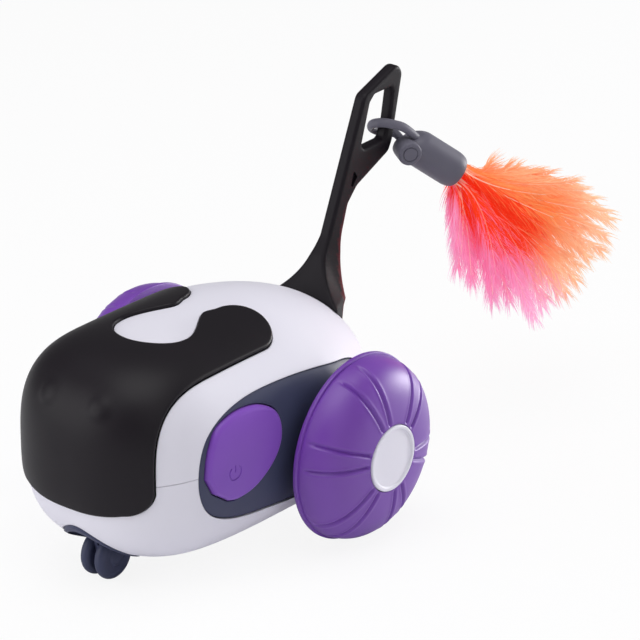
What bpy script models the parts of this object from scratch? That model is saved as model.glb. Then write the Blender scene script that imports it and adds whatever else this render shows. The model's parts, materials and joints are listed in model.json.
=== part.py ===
"""Remote-controlled cat toy car with two big side wheels, a front caster and a feather teaser on its tail.

Metres, +Z up. The nose points along -Y and the toy's left side is +X. The origin is the middle of the
flat pad under the belly, straight below the axle.
"""

from math import asin, cos, pi, radians, sin, tan

import bmesh
import bpy
from mathutils import Matrix, Vector

# Fits
gap = 0.0003
overrun = 0.004
parting_height = 0.0487
merge_distance = 0.00001

# Wheels
wheel_radius = 0.040
wheel_depth = 0.0210
wheel_to_body = 0.0021
flange_depth = 0.0020
flange_step = 0.0009
dome_wall = 0.0028
dome_seat = 0.0012
dome_power_share = 2.7
groove_depth = 0.0008
groove_half_width = 0.0007
cap_radius = 0.0142
cap_depth = 0.0030
cap_dish = 0.0008
cap_margin = 0.0026
cap_gap = 0.0006
hub_radius = 0.0060
hub_web = 0.0022
axle_radius = 0.0020
groove_pairs = 6
groove_pair_half_angle = radians(8.5)
groove_first_angle = radians(45)

# Body
body_width = 0.1056
nose_width = 0.0883
nose_width_station = 0.090
nose_reach = 0.1145
rump_reach = 0.0542
cheek_start = 0.0681
cheek_power_share = 2.55
haunch_start = 0.0069
haunch_power_share = 1.71
body_height = 0.0943
waist_height = 0.0500
brow_start = 0.0669
brow_power_share = 2.96
back_start = 0.0226
back_power_share = 1.72
chin_start = 0.0214
chin_power_share = 2.89
crown_section_share = 1.855
crown_section_gain_share = 1.033
belly_section_share = 2.84
ground_clearance = 0.0050
belly_droop_share = 0.054
crown_tilt_share = 0.017
pad_rise = 0.0006
pad_length = 0.026
pad_width = 0.030
pad_thickness = 0.0014
wall = 0.0024
body_stations = 22
body_sides = 28

# Visor
visor_rise = 0.0008
visor_thickness = 0.0032
visor_half_width = 0.0345
visor_bottom = 0.0363
visor_corner = 0.0100
knob_radius = 0.0128
knob_offset = 0.0215
knob_station = 0.0322
neck_half_width = 0.0072
neck_station = 0.0385
tongue_half_width = 0.0166
tongue_station = 0.0610
tongue_tip = 0.0762

# Side panels and leaf keys
panel_recess = 0.0006
panel_thickness = 0.0020
panel_front = 0.0846
panel_back = 0.0240
panel_drop_front = 0.0208
panel_drop_back = 0.0275
panel_bottom_front = 0.0208
panel_bottom_back = 0.0170
panel_round = 0.0527
key_rise = 0.0016
key_round = 0.0020
key_crown = 0.0008
key_skin = 0.0034
key_gap = 0.0004
key_travel = 0.0010
key_stem_radius = 0.0016
key_station = 0.0601
key_lift_share = 0.079
key_half_length = 0.0210
key_height_share = 0.353

# Switch boards behind the keys
board_thickness = 0.0016
switch_board_inset = 0.0120
switch_board_width = 0.0140
switch_board_reach = 0.0066
switch_size = 0.0062
switch_depth = 0.0035
switch_button_radius = 0.0016
switch_button_height = 0.0006

# Drive
gear_module = 0.0011
pinion_teeth = 8
idler_teeth = 19
idler_pinion_teeth = 8
output_teeth = 20
gear_width = 0.0024
gear_gap = 0.0007
gear_backlash_share = 0.30
gear_train_inset = 0.0238
gearbox_wall = 0.0016
gearbox_seat = 0.0154
gearbox_top = 0.0430
gearbox_margin = 0.0055
gearbox_corner = 0.0030
train_angle = radians(22)
idler_shaft_radius = 0.0012
motor_radius = 0.0100
motor_flat = 0.0076
motor_half_spacing = 0.0050
motor_boss_radius = 0.0030
motor_boss_height = 0.0010
motor_shaft_radius = 0.0010
motor_shaft_depth = 0.0060
bore_clearance = 0.0004
bore_sides = 16

# Caster
caster_setback = 0.0200
caster_radius = 0.0100
caster_trail = 0.0020
caster_lobe = 0.0050
caster_round = 0.0018
caster_web = 0.0016
caster_web_gap = 0.0004
caster_pin_radius = 0.0012
well_radius = 0.0154
well_wall = 0.0016
well_height = 0.0270
well_lip = 0.0005
stem_radius = 0.0022
stem_length = 0.0040
turntable_radius = 0.0090
turntable_height = 0.0030
turntable_gap = 0.0005
fork_boss = 0.0036
fork_shoulder = 0.0070

# Tail
tail_seat_y = 0.0364
tail_seat_share = 0.5643
tail_run = 0.0638
tail_rise = 0.0865
tail_half_thickness = 0.0028
tail_corner = 0.0045
tail_hole_corner = 0.0022
foot_half_width = 0.0165
foot_drop = 0.0030
foot_flare_height = 0.0255
foot_flare_power_share = 1.9
root_half_width = 0.0100
root_depth = 0.0090
pocket_depth = 0.0010
bar_rise = 0.0580
bar_run = 0.0554

# Teaser
strap_radius = 0.0018
strap_front = 0.0066
strap_half_width = 0.0061
strap_back = 0.0040
barrel_start = 0.0074
barrel_end = 0.0400
barrel_radius = 0.0080
barrel_round = 0.0032
barrel_bore = 0.0062
barrel_bore_depth = 0.0045
tab_radius = 0.0055
tab_thickness = 0.0024
tab_along = 0.0126
teaser_direction = Vector((0.53, 0.72, -0.666)).normalized()
strap_direction = Vector((0.53, 0.72, -0.30)).normalized()

# Feathers
feather_direction = Vector((0.446, 0.555, -0.703)).normalized()
feather_spread = Vector((0.275, 0.662, 0.697)).normalized()
feather_length = 0.0760
feather_bend = 0.0180
feather_half_width = 0.0310
feather_half_depth = 0.0150
feather_plug = 0.0036
feather_neck_share = 0.1

# Inside
battery_width = 0.0340
battery_setback = 0.0395
battery_height = 0.0120
battery_back = 0.0430
battery_floor = 0.0070
rail_width = 0.0040
rail_spacing = 0.0200
circuit_margin = 0.0009
circuit_setback = 0.0385
circuit_back = 0.0410
circuit_height = 0.0250
circuit_corner = 0.0030
post_radius = 0.0026
post_inset = 0.0050
receiver_width = 0.0072
receiver_depth = 0.0050
receiver_height = 0.0080

# Sizes that follow from those above
axle_height = wheel_radius - ground_clearance
body_length = nose_reach + rump_reach
caster_station = nose_reach - caster_setback
rim_plane = body_width / 2 + wheel_to_body
cap_plane = rim_plane + wheel_depth
crown_rise = body_height - waist_height
belly_drop = waist_height - pad_rise
battery_length = nose_reach - battery_setback - battery_back
circuit_length = nose_reach - circuit_setback - circuit_back
panel_top_front = body_height - panel_drop_front
panel_top_back = body_height - panel_drop_back
panel_middle = (panel_top_front + panel_bottom_front) / 2
panel_tall = panel_top_front - panel_bottom_front
key_centre_y = -key_station
key_centre_z = panel_middle + panel_tall * key_lift_share
key_half_height = panel_tall * key_height_share
key_half_room = (body_width + (nose_width - body_width) * key_station / nose_width_station) / 2
switch_board_x = key_half_room - switch_board_inset
circuit_width = 2 * (switch_board_x + board_thickness + circuit_margin)
gear_plane = body_width / 2 - gear_train_inset
motor_length = gear_plane - motor_half_spacing
tail_seat_z = waist_height + crown_rise * tail_seat_share
bar_height = tail_seat_z + bar_rise
bar_station = tail_seat_y + bar_run
idler_distance = gear_module * (idler_pinion_teeth + output_teeth) / 2
motor_distance = gear_module * (pinion_teeth + idler_teeth) / 2
idler_y = -idler_distance * cos(train_angle)
idler_z = axle_height - idler_distance * sin(train_angle)
motor_y = idler_y - motor_distance * cos(train_angle)
motor_z = idler_z - motor_distance * sin(train_angle)
first_gear_plane = gear_plane + gearbox_wall + gear_gap
second_gear_plane = first_gear_plane + gear_width + gear_gap
outer_plate_plane = second_gear_plane + gear_width + gear_gap
bar_point = Vector((0.0, bar_station, bar_height))
nozzle_point = bar_point + teaser_direction * barrel_end
sideways = Vector((0.0, 0.0, 1.0)).cross(teaser_direction).normalized()
caster_z = caster_radius - ground_clearance
caster_y = caster_trail - caster_station
switch_top = switch_board_x + board_thickness + switch_depth + switch_button_height
key_stem_end = switch_top + key_travel + gap


def start():
    for old in list(bpy.data.objects):
        bpy.data.objects.remove(old)
    parts = bpy.data.collections.new("remote_control_cat_toy")
    cutters = bpy.data.collections.new("cutters")
    bpy.context.scene.collection.children.link(parts)
    bpy.context.scene.collection.children.link(cutters)
    return parts, cutters


parts_collection, cutters_collection = start()


def finish_colour(name, colour, roughness, metallic=0.0):
    material = bpy.data.materials.new(name)
    material.use_nodes = True
    shader = material.node_tree.nodes["Principled BSDF"]
    shader.inputs["Base Color"].default_value = (*colour, 1.0)
    shader.inputs["Roughness"].default_value = roughness
    shader.inputs["Metallic"].default_value = metallic
    return material


white_plastic = finish_colour("white_plastic", (0.78, 0.76, 0.82), 0.35)
black_plastic = finish_colour("black_plastic", (0.02, 0.018, 0.022), 0.3)
slate_plastic = finish_colour("slate_plastic", (0.06, 0.06, 0.09), 0.45)
purple_silicone = finish_colour("purple_silicone", (0.19, 0.07, 0.42), 0.45)
grey_silicone = finish_colour("grey_silicone", (0.13, 0.13, 0.17), 0.5)
grey_plastic = finish_colour("grey_plastic", (0.2, 0.2, 0.22), 0.5)
steel = finish_colour("steel", (0.6, 0.6, 0.62), 0.25, 1.0)
nylon = finish_colour("nylon", (0.85, 0.84, 0.78), 0.5)
circuit_green = finish_colour("circuit_green", (0.02, 0.16, 0.06), 0.45)
battery_wrap = finish_colour("battery_wrap", (0.05, 0.12, 0.3), 0.5)
orange_feather = finish_colour("orange_feather", (0.9, 0.28, 0.08), 0.9)
pink_feather = finish_colour("pink_feather", (0.92, 0.3, 0.5), 0.9)


def object_of(name, mesh, material=None):
    """A part when it has a material, otherwise a cutter."""
    item = bpy.data.objects.new(name, mesh)
    if material is None:
        cutters_collection.objects.link(item)
        item.hide_render = True
        item.display_type = "WIRE"
    else:
        parts_collection.objects.link(item)
        mesh.materials.append(material)
    return item


def evaluated_mesh(item):
    bpy.context.view_layer.update()
    graph = bpy.context.evaluated_depsgraph_get()
    mesh = bpy.data.meshes.new_from_object(item.evaluated_get(graph))
    work = bmesh.new()
    work.from_mesh(mesh)
    bmesh.ops.remove_doubles(work, verts=work.verts, dist=merge_distance)
    bmesh.ops.recalc_face_normals(work, faces=work.faces)
    work.to_mesh(mesh)
    work.free()
    return mesh


def lofted(name, rings, poles=(), material=None):
    """Skin over rings of points, closed by two poles, or round to the first ring when there are none."""
    work = bmesh.new()
    rows = [[work.verts.new(point) for point in ring] for ring in rings]
    pairs = list(zip(rows, rows[1:]))
    if not poles:
        pairs.append((rows[-1], rows[0]))
    for one, two in pairs:
        for k in range(len(one)):
            n = (k + 1) % len(one)
            work.faces.new((one[k], one[n], two[n], two[k]))
    for point, row in zip(poles, (rows[0], rows[-1])):
        tip = work.verts.new(point)
        for k in range(len(row)):
            work.faces.new((row[k], row[(k + 1) % len(row)], tip))
    bmesh.ops.recalc_face_normals(work, faces=work.faces)
    mesh = bpy.data.meshes.new(name)
    work.to_mesh(mesh)
    work.free()
    return object_of(name, mesh, material)


planes = {
    "plan": Matrix.Identity(4),
    "front": Matrix(((1, 0, 0, 0), (0, 0, -1, 0), (0, 1, 0, 0), (0, 0, 0, 1))),
    "side": Matrix(((0, 0, 1, 0), (1, 0, 0, 0), (0, 1, 0, 0), (0, 0, 0, 1))),
}


def prism(name, outline, low, high, plane, material=None):
    """A flat outline given thickness: plan is X by Y, side is Y by Z, front is X by Z with its depth along -Y."""
    curve = bpy.data.curves.new(name, "CURVE")
    curve.dimensions = "2D"
    curve.fill_mode = "BOTH"
    curve.extrude = (high - low) / 2
    spline = curve.splines.new("POLY")
    spline.points.add(len(outline) - 1)
    for point, (u, v) in zip(spline.points, outline):
        point.co = (u, v, 0.0, 1.0)
    spline.use_cyclic_u = True
    flat = bpy.data.objects.new(name, curve)
    cutters_collection.objects.link(flat)
    mesh = evaluated_mesh(flat)
    mesh.transform(planes[plane] @ Matrix.Translation((0.0, 0.0, (low + high) / 2)))
    bpy.data.objects.remove(flat)
    return object_of(name, mesh, material)


def box(name, low, high, material=None):
    work = bmesh.new()
    bmesh.ops.create_cube(work, size=1.0)
    size = Vector(high) - Vector(low)
    middle = (Vector(high) + Vector(low)) / 2
    bmesh.ops.transform(work, matrix=Matrix.Translation(middle) @ Matrix.Diagonal((*size, 1.0)), verts=work.verts)
    mesh = bpy.data.meshes.new(name)
    work.to_mesh(mesh)
    work.free()
    return object_of(name, mesh, material)


def rod(name, radius, start_point, end_point, sides=20, material=None):
    """A cylinder between two points."""
    along = Vector(end_point) - Vector(start_point)
    work = bmesh.new()
    bmesh.ops.create_cone(
        work, cap_ends=True, segments=sides, radius1=radius, radius2=radius, depth=along.length
    )
    turn = Vector((0.0, 0.0, 1.0)).rotation_difference(along.normalized()).to_matrix().to_4x4()
    middle = (Vector(start_point) + Vector(end_point)) / 2
    bmesh.ops.transform(work, matrix=Matrix.Translation(middle) @ turn, verts=work.verts)
    mesh = bpy.data.meshes.new(name)
    work.to_mesh(mesh)
    work.free()
    return object_of(name, mesh, material)


def turned(name, profile, start_point, direction, sides=32, material=None):
    """A closed or axis-to-axis profile of (radius, distance) turned round the line through start_point."""
    mesh = bpy.data.meshes.new(name)
    points = [(radius, 0.0, along) for radius, along in profile]
    open_profile = profile[0][0] == 0.0
    edges = [(k, k + 1) for k in range(len(points) - 1)]
    if not open_profile:
        edges.append((len(points) - 1, 0))
    mesh.from_pydata(points, edges, [])
    half = bpy.data.objects.new(name, mesh)
    cutters_collection.objects.link(half)
    screw = half.modifiers.new("turn", "SCREW")
    screw.steps = sides
    screw.render_steps = sides
    screw.use_merge_vertices = True
    screw.merge_threshold = merge_distance
    solid = evaluated_mesh(half)
    bpy.data.objects.remove(half)
    turn = Vector((0.0, 0.0, 1.0)).rotation_difference(Vector(direction)).to_matrix().to_4x4()
    solid.transform(Matrix.Translation(Vector(start_point)) @ turn)
    return object_of(name, solid, material)


def combine(item, other, operation="DIFFERENCE"):
    change = item.modifiers.new(other.name, "BOOLEAN")
    change.operation = operation
    change.object = other
    return item


def settled(item):
    """The same object with its modifiers taken into its mesh."""
    mesh = evaluated_mesh(item)
    item.modifiers.clear()
    for material in item.data.materials:
        if material.name not in mesh.materials:
            mesh.materials.append(material)
    item.data = mesh
    return item


def mirrored(item, name):
    """The right-hand twin of a left-hand part."""
    mesh = settled(item).data.copy()
    mesh.transform(Matrix.Diagonal((-1.0, 1.0, 1.0, 1.0)))
    mesh.flip_normals()
    twin = bpy.data.objects.new(name, mesh)
    item.users_collection[0].objects.link(twin)
    twin.hide_render = item.hide_render
    twin.display_type = item.display_type
    return twin


def on_axis(item, pivot):
    """Moves the object's origin to its joint's axis."""
    settled(item)
    item.data.transform(Matrix.Translation(-Vector(pivot)))
    item.location = pivot
    return item


# Body form

def swell(share, power):
    """The fall of a rounded end, from 1 where it starts to 0 at its tip."""
    share = min(max(share, 0.0), 1.0)
    return (1.0 - share**power) ** (1.0 / power)


def half_width(y, inset):
    ahead = max(-y, 0.0)
    straight = (body_width + (nose_width - body_width) * ahead / nose_width_station) / 2 - inset
    front = (-y - cheek_start) / (nose_reach - inset - cheek_start)
    back = (y + haunch_start) / (rump_reach - inset + haunch_start)
    return straight * swell(front, cheek_power_share) * swell(back, haunch_power_share)


def crown(y, inset):
    front = (-y - brow_start) / (nose_reach - inset - brow_start)
    back = (y + back_start) / (rump_reach - inset + back_start)
    tilt = 1 + crown_tilt_share * y / nose_width_station
    return (crown_rise - inset) * tilt * swell(front, brow_power_share) * swell(back, back_power_share)


def belly(y, inset):
    front = (-y - chin_start) / (nose_reach - inset - chin_start)
    back = (y + haunch_start) / (rump_reach - inset + haunch_start)
    droop = 1 + belly_droop_share * max(-y, 0.0) / nose_width_station
    return (belly_drop - inset) * droop * swell(front, chin_power_share) * swell(back, haunch_power_share)


def crown_power(y):
    return crown_section_share + crown_section_gain_share * max(-y, 0.0) / nose_width_station


def side_surface(y, z, inset):
    """How far out the body's side lies at a height."""
    if z > waist_height:
        rise, power = crown(y, inset), crown_power(y)
    else:
        rise, power = belly(y, inset), belly_section_share
    return half_width(y, inset) * swell(abs(z - waist_height) / rise, power)


def body_ring(y, inset):
    points = []
    for k in range(body_sides):
        angle = 2 * pi * k / body_sides
        c, s = cos(angle), sin(angle)
        above = s >= 0
        power = crown_power(y) if above else belly_section_share
        rise = crown(y, inset) if above else belly(y, inset)
        x = half_width(y, inset) * abs(c) ** (2 / power) * (1 if c >= 0 else -1)
        z = waist_height + rise * abs(s) ** (2 / power) * (1 if above else -1)
        points.append((x, y, z))
    return points


def body_form(name, inset, material=None):
    front, back = -(nose_reach - inset), rump_reach - inset
    stations = [
        (front + back) / 2 - (back - front) / 2 * cos(pi * k / body_stations)
        for k in range(1, body_stations)
    ]
    rings = [body_ring(y, inset) for y in stations]
    poles = ((0.0, front, waist_height), (0.0, back, waist_height))
    return lofted(name, rings, poles, material)


# Outlines

def arc(centre, radius, first, last, steps):
    return [
        (
            centre[0] + radius * cos(first + (last - first) * k / steps),
            centre[1] + radius * sin(first + (last - first) * k / steps),
        )
        for k in range(steps + 1)
    ]


def smooth(knots, steps, closed=True):
    """A curve through the knots, with its direction at each knot set by the knots beside it."""
    count = len(knots)
    points = []
    spans = count if closed else count - 1
    for i in range(spans):
        before = Vector(knots[(i - 1) % count] if closed or i > 0 else knots[0])
        one, two = Vector(knots[i]), Vector(knots[(i + 1) % count])
        after = Vector(knots[(i + 2) % count] if closed or i + 2 < count else knots[-1])
        reach = (two - one).length
        lead = (two - before).normalized() * reach
        trail = (after - one).normalized() * reach
        for k in range(steps):
            t = k / steps
            a, b = 2 * t**3 - 3 * t**2 + 1, t**3 - 2 * t**2 + t
            c, d = -2 * t**3 + 3 * t**2, t**3 - t**2
            points.append(tuple(one * a + lead * b + two * c + trail * d))
    if not closed:
        points.append(tuple(knots[-1]))
    return points


def grown(outline, distance):
    """The closed outline with each point moved out along its normal; a negative distance moves it in."""
    area = sum(a[0] * b[1] - a[1] * b[0] for a, b in zip(outline, outline[1:] + outline[:1]))
    side = 1 if area > 0 else -1
    result = []
    for k, point in enumerate(outline):
        before, after = Vector(outline[k - 1]), Vector(outline[(k + 1) % len(outline)])
        one, two = (Vector(point) - before).normalized(), (after - Vector(point)).normalized()
        middle = (one + two).normalized()
        stretch = 1 / max(middle.dot(one), 0.5)
        out = Vector((middle.y, -middle.x)) * side * distance * stretch
        result.append(tuple(Vector(point) + out))
    return result


def rounded(corners, radius, steps=3):
    """A polygon with each corner turned into an arc."""
    points = []
    for k, corner in enumerate(corners):
        corner = Vector(corner)
        one = (Vector(corners[k - 1]) - corner).normalized()
        two = (Vector(corners[(k + 1) % len(corners)]) - corner).normalized()
        half = one.angle(two) / 2
        if half > pi / 2 * 0.98:
            points.append(tuple(corner))
            continue
        middle = (one + two).normalized()
        centre = corner + middle * radius / sin(half)
        first = corner + one * radius / tan(half) - centre
        last = corner + two * radius / tan(half) - centre
        for n in range(steps + 1):
            arm = first.lerp(last, n / steps).normalized() * radius
            points.append(tuple(centre + arm))
    return points


def placed(shares, origin, size):
    return [(origin[0] + size[0] * u, origin[1] + size[1] * v) for u, v in shares]


def visor_plan():
    """The visor from above: two arms with round knobs either side of the white tongue."""
    half = [(visor_half_width, -nose_reach - overrun)]
    half += arc((knob_offset, -knob_station), knob_radius, 0.0, pi, 12)
    reach = tongue_tip - tongue_station
    bulb = [
        (tongue_half_width * cos(angle), -tongue_station - reach * sin(angle))
        for angle in (0.0, pi / 8, pi / 4, pi * 3 / 8, pi / 2, pi * 5 / 8)
    ]
    waist = ((neck_half_width + tongue_half_width) / 2, -(neck_station + tongue_station) / 2)
    inner = smooth([half[-1], (neck_half_width, -neck_station), waist] + bulb, 3, closed=False)
    half += inner[1:-3]
    half[-1] = (0.0, -tongue_tip)
    return half + [(-x, y) for x, y in reversed(half[:-1])]


def visor_front():
    """The visor from the front: straight sides and round lower corners."""
    inner = visor_half_width - visor_corner
    low = visor_bottom + visor_corner
    top = body_height + overrun
    half = [(visor_half_width, top)] + arc((inner, low), visor_corner, 0.0, -pi / 2, 6)
    return half + [(-x, z) for x, z in reversed(half)]


def visor_form(name, grow):
    item = prism(name, grown(visor_plan(), grow), 0.0, body_height + 2 * overrun, "plan")
    across = prism(name + "_front", grown(visor_front(), grow), -rump_reach, nose_reach + 2 * overrun, "front")
    return combine(item, across, "INTERSECT")


def panel_outline():
    """A side panel, round at its front and running back behind the wheel."""
    middle, tall = panel_middle, panel_tall
    return smooth(
        (
            (-panel_front, middle),
            (-panel_front + panel_round * 0.09, middle + tall * 0.33),
            (-panel_front + panel_round * 0.40, panel_top_front - tall * 0.02),
            (-panel_front + panel_round * 0.95, panel_top_front),
            (0.0, panel_top_back + tall * 0.045),
            (panel_back * 0.75, panel_top_back - tall * 0.08),
            (panel_back, middle),
            (panel_back * 0.75, panel_bottom_back + tall * 0.08),
            (0.0, panel_bottom_back),
            (-panel_front + panel_round * 0.70, panel_bottom_front - tall * 0.01),
            (-panel_front + panel_round * 0.32, panel_bottom_front + tall * 0.07),
            (-panel_front + panel_round * 0.08, panel_bottom_front + tall * 0.23),
        ),
        3,
    )


key_outline_shares = (
    (-1.0, -0.23),
    (-0.97, 0.14),
    (-0.89, 0.48),
    (-0.68, 0.83),
    (-0.23, 0.99),
    (0.16, 1.0),
    (0.55, 0.92),
    (0.90, 0.68),
    (1.0, 0.33),
    (0.95, -0.10),
    (0.71, -0.52),
    (0.27, -0.90),
    (-0.16, -1.02),
    (-0.42, -0.96),
)
key_notch_share = (-0.59, -0.82)
key_lobe_share = (-0.82, -0.64)


def key_outline():
    """A leaf with a small notch low at its front."""
    centre, half = (key_centre_y, key_centre_z), (key_half_length, key_half_height)
    knots = placed(key_outline_shares, centre, half)
    return smooth(knots, 2, closed=False) + placed((key_notch_share, key_lobe_share), centre, half)


def gear_outline(teeth, turn=0.0):
    """Straight-sided teeth on the pitch circle, thinned by the backlash."""
    pitch_radius = gear_module * teeth / 2
    tip, root = pitch_radius + gear_module * 0.9, pitch_radius - gear_module * 1.15
    step = 2 * pi / teeth
    tooth = step * (1 - gear_backlash_share) / 2
    points = []
    for k in range(teeth):
        middle = turn + k * step
        for radius, share in ((root, -0.72), (tip, -0.24), (tip, 0.24), (root, 0.72)):
            angle = middle + tooth * share
            points.append((radius * cos(angle), radius * sin(angle)))
    return points

# Shells

def below(name, height, size):
    """Everything under a height."""
    return box(name, (-size, -size, -size), (size, size, height))


def above(name, height, size):
    return box(name, (-size, -size, height), (size, size, 2 * size))


def panel_cut(name, grow, side):
    low, high = sorted((0.0, side * body_width))
    return prism(name, grown(panel_outline(), grow), low, high, "side")


def floor_height(x, y, inset):
    """How high the belly's skin lies at a place."""
    return waist_height - belly(y, inset) * swell(abs(x) / half_width(y, inset), belly_section_share)


visor_opening = visor_form("visor_opening", gap)
panel_openings = [panel_cut("panel_opening", gap, side) for side in (1, -1)]

upper_shell = body_form("upper_shell", 0.0, white_plastic)
combine(upper_shell, body_form("upper_core", wall))
combine(upper_shell, above("upper_half", parting_height + gap, body_length), "INTERSECT")
combine(upper_shell, visor_opening)
for opening in panel_openings:
    combine(upper_shell, opening)

lower_shell = body_form("lower_shell", 0.0, white_plastic)
combine(lower_shell, body_form("lower_core", wall))
combine(lower_shell, below("lower_half", parting_height, body_length), "INTERSECT")
combine(lower_shell, visor_opening)
for opening in panel_openings:
    combine(lower_shell, opening)
well_opening = rod(
    "well_opening",
    well_radius + well_wall + gap,
    (0.0, -caster_station, -overrun),
    (0.0, -caster_station, well_height + well_wall + gap),
    32,
)
combine(lower_shell, well_opening)
belly_pad = box(
    "belly_pad", (-pad_width / 2, -pad_length / 2, 0.0), (pad_width / 2, pad_length / 2, pad_thickness)
)
combine(lower_shell, belly_pad, "UNION")


def post(name, x, y, top):
    """A round post from the floor of the lower shell."""
    item = rod(name, post_radius, (x, y, -overrun), (x, y, top), 12)
    combine(item, body_form(name + "_floor", wall / 2), "INTERSECT")
    combine(lower_shell, item, "UNION")


board_front = -circuit_back - circuit_length
for side in (1, -1):
    for y in (-circuit_back - post_inset, board_front + post_inset):
        post("board_post", side * (circuit_width / 2 - post_inset), y, circuit_height - gap)
    for y in (0.0, idler_y):
        post("gearbox_post", side * (first_gear_plane + outer_plate_plane) / 2, y, gearbox_seat - gap)
    rail = box(
        "battery_rail",
        (side * rail_spacing / 2 - rail_width / 2, -battery_back - battery_length, -overrun),
        (side * rail_spacing / 2 + rail_width / 2, -battery_back, battery_floor - gap),
    )
    combine(rail, body_form("rail_floor", wall / 2), "INTERSECT")
    combine(lower_shell, rail, "UNION")


# Visor

visor = body_form("visor", -visor_rise, black_plastic)
combine(visor, body_form("visor_core", visor_thickness))
combine(visor, visor_form("visor_edge", 0.0), "INTERSECT")


# Side panels with their leaf keys

def key_ring(shrink, rise, share):
    """The key's outline, pulled in and moved toward its middle, lying over the panel's own surface."""
    points = []
    for y, z in grown(key_outline(), -shrink):
        y, z = key_centre_y + (y - key_centre_y) * share, key_centre_z + (z - key_centre_z) * share
        points.append((side_surface(y, z, panel_recess) + rise, y, z))
    return points


side_panel_left = body_form("side_panel_left", panel_recess, slate_plastic)
combine(side_panel_left, body_form("panel_core", panel_recess + panel_thickness))
combine(side_panel_left, panel_cut("panel_edge", 0.0, 1), "INTERSECT")
key_opening = prism("key_opening", grown(key_outline(), key_gap), 0.0, body_width, "side")
combine(side_panel_left, key_opening)
axle_opening = rod(
    "axle_opening",
    axle_radius + bore_clearance,
    (outer_plate_plane, 0.0, axle_height),
    (cap_plane, 0.0, axle_height),
    bore_sides,
)
combine(side_panel_left, axle_opening)
side_panel_right = mirrored(side_panel_left, "side_panel_right")

key_profile = (
    (0.0, -key_skin, 0.5),
    (0.0, -key_skin, 1.0),
    (0.0, key_rise - key_round, 1.0),
    (key_round * (1 - cos(pi / 6)), key_rise - key_round * (1 - sin(pi / 6)), 1.0),
    (key_round * (1 - cos(pi / 3)), key_rise - key_round * (1 - sin(pi / 3)), 1.0),
    (key_round, key_rise, 1.0),
    (key_round, key_rise + key_crown * 0.75, 0.55),
)
centre_surface = side_surface(key_centre_y, key_centre_z, panel_recess)
power_button = lofted(
    "power_button",
    [key_ring(*row) for row in key_profile],
    (
        (centre_surface - key_skin, key_centre_y, key_centre_z),
        (centre_surface + key_rise + key_crown, key_centre_y, key_centre_z),
    ),
    purple_silicone,
)
key_stem = rod(
    "key_stem",
    key_stem_radius,
    (key_stem_end, key_centre_y, key_centre_z),
    (centre_surface, key_centre_y, key_centre_z),
    12,
)
combine(power_button, key_stem, "UNION")
side_key_right = mirrored(power_button, "side_key_right")
for key, side in ((power_button, 1), (side_key_right, -1)):
    on_axis(key, (side * centre_surface, key_centre_y, key_centre_z))


# Wheels

def wheel_columns():
    """Angles round the dome, each with how much of a groove lies there."""
    half_groove = groove_half_width / (wheel_radius * 0.6)
    sector = 2 * pi / groove_pairs
    columns = []
    for k in range(groove_pairs):
        middle = groove_first_angle + k * sector
        for side in (-1, 1):
            groove = middle + side * groove_pair_half_angle
            columns += [(groove - half_groove, 0.0), (groove, 1.0), (groove + half_groove, 0.0)]
            if side < 0:
                columns.append((middle, 0.0))
        for share in (0.33, 0.67):
            span = sector - 2 * groove_pair_half_angle
            columns.append((middle + groove_pair_half_angle + span * share, 0.0))
    return columns


def dome_profile(inset, angles):
    """Points of (radius, depth) on the dome's curve."""
    wide, deep = wheel_radius - flange_step - inset, wheel_depth - inset
    power = 2 / dome_power_share
    return [(wide * cos(angle) ** power, deep * sin(angle) ** power) for angle in angles]


def dome_ring(radius, depth, groove):
    points = []
    slope = Vector((radius / wheel_radius**2, depth / wheel_depth**2)).normalized()
    for angle, share in wheel_columns():
        r = radius - groove * share * slope.x
        d = depth - groove * share * slope.y
        points.append((rim_plane + d, r * cos(angle), axle_height + r * sin(angle)))
    return points


def seat_angle(inset):
    """Where the dome's curve has come in to the cap's seat."""
    share = (cap_radius + cap_gap) / (wheel_radius - flange_step - inset)
    return pi / 2 - asin(share ** (dome_power_share / 2))


outer_angles = [seat_angle(0.0) * share for share in (0.14, 0.30, 0.48, 0.66, 0.84, 1.0)]
inner_angles = [seat_angle(dome_wall) * share for share in (1.0, 0.65, 0.3, 0.0)]
outer_curve = dome_profile(0.0, outer_angles)
outer_groove_shares = (0.0, 1.0, 1.0, 1.0, 0.9, 0.0)
dome_rings = [
    dome_ring(wheel_radius, 0.0, 0.0),
    dome_ring(wheel_radius, flange_depth, 0.0),
    dome_ring(wheel_radius - flange_step, flange_depth + flange_step, 0.0),
]
dome_rings += [
    dome_ring(radius, depth, groove_depth * share)
    for (radius, depth), share in zip(outer_curve, outer_groove_shares)
    if depth > flange_depth + flange_step
]
dome_rings += [dome_ring(radius, depth, 0.0) for radius, depth in dome_profile(dome_wall, inner_angles)]
wheel_dome_left = lofted("wheel_dome_left", dome_rings, (), purple_silicone)

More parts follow.
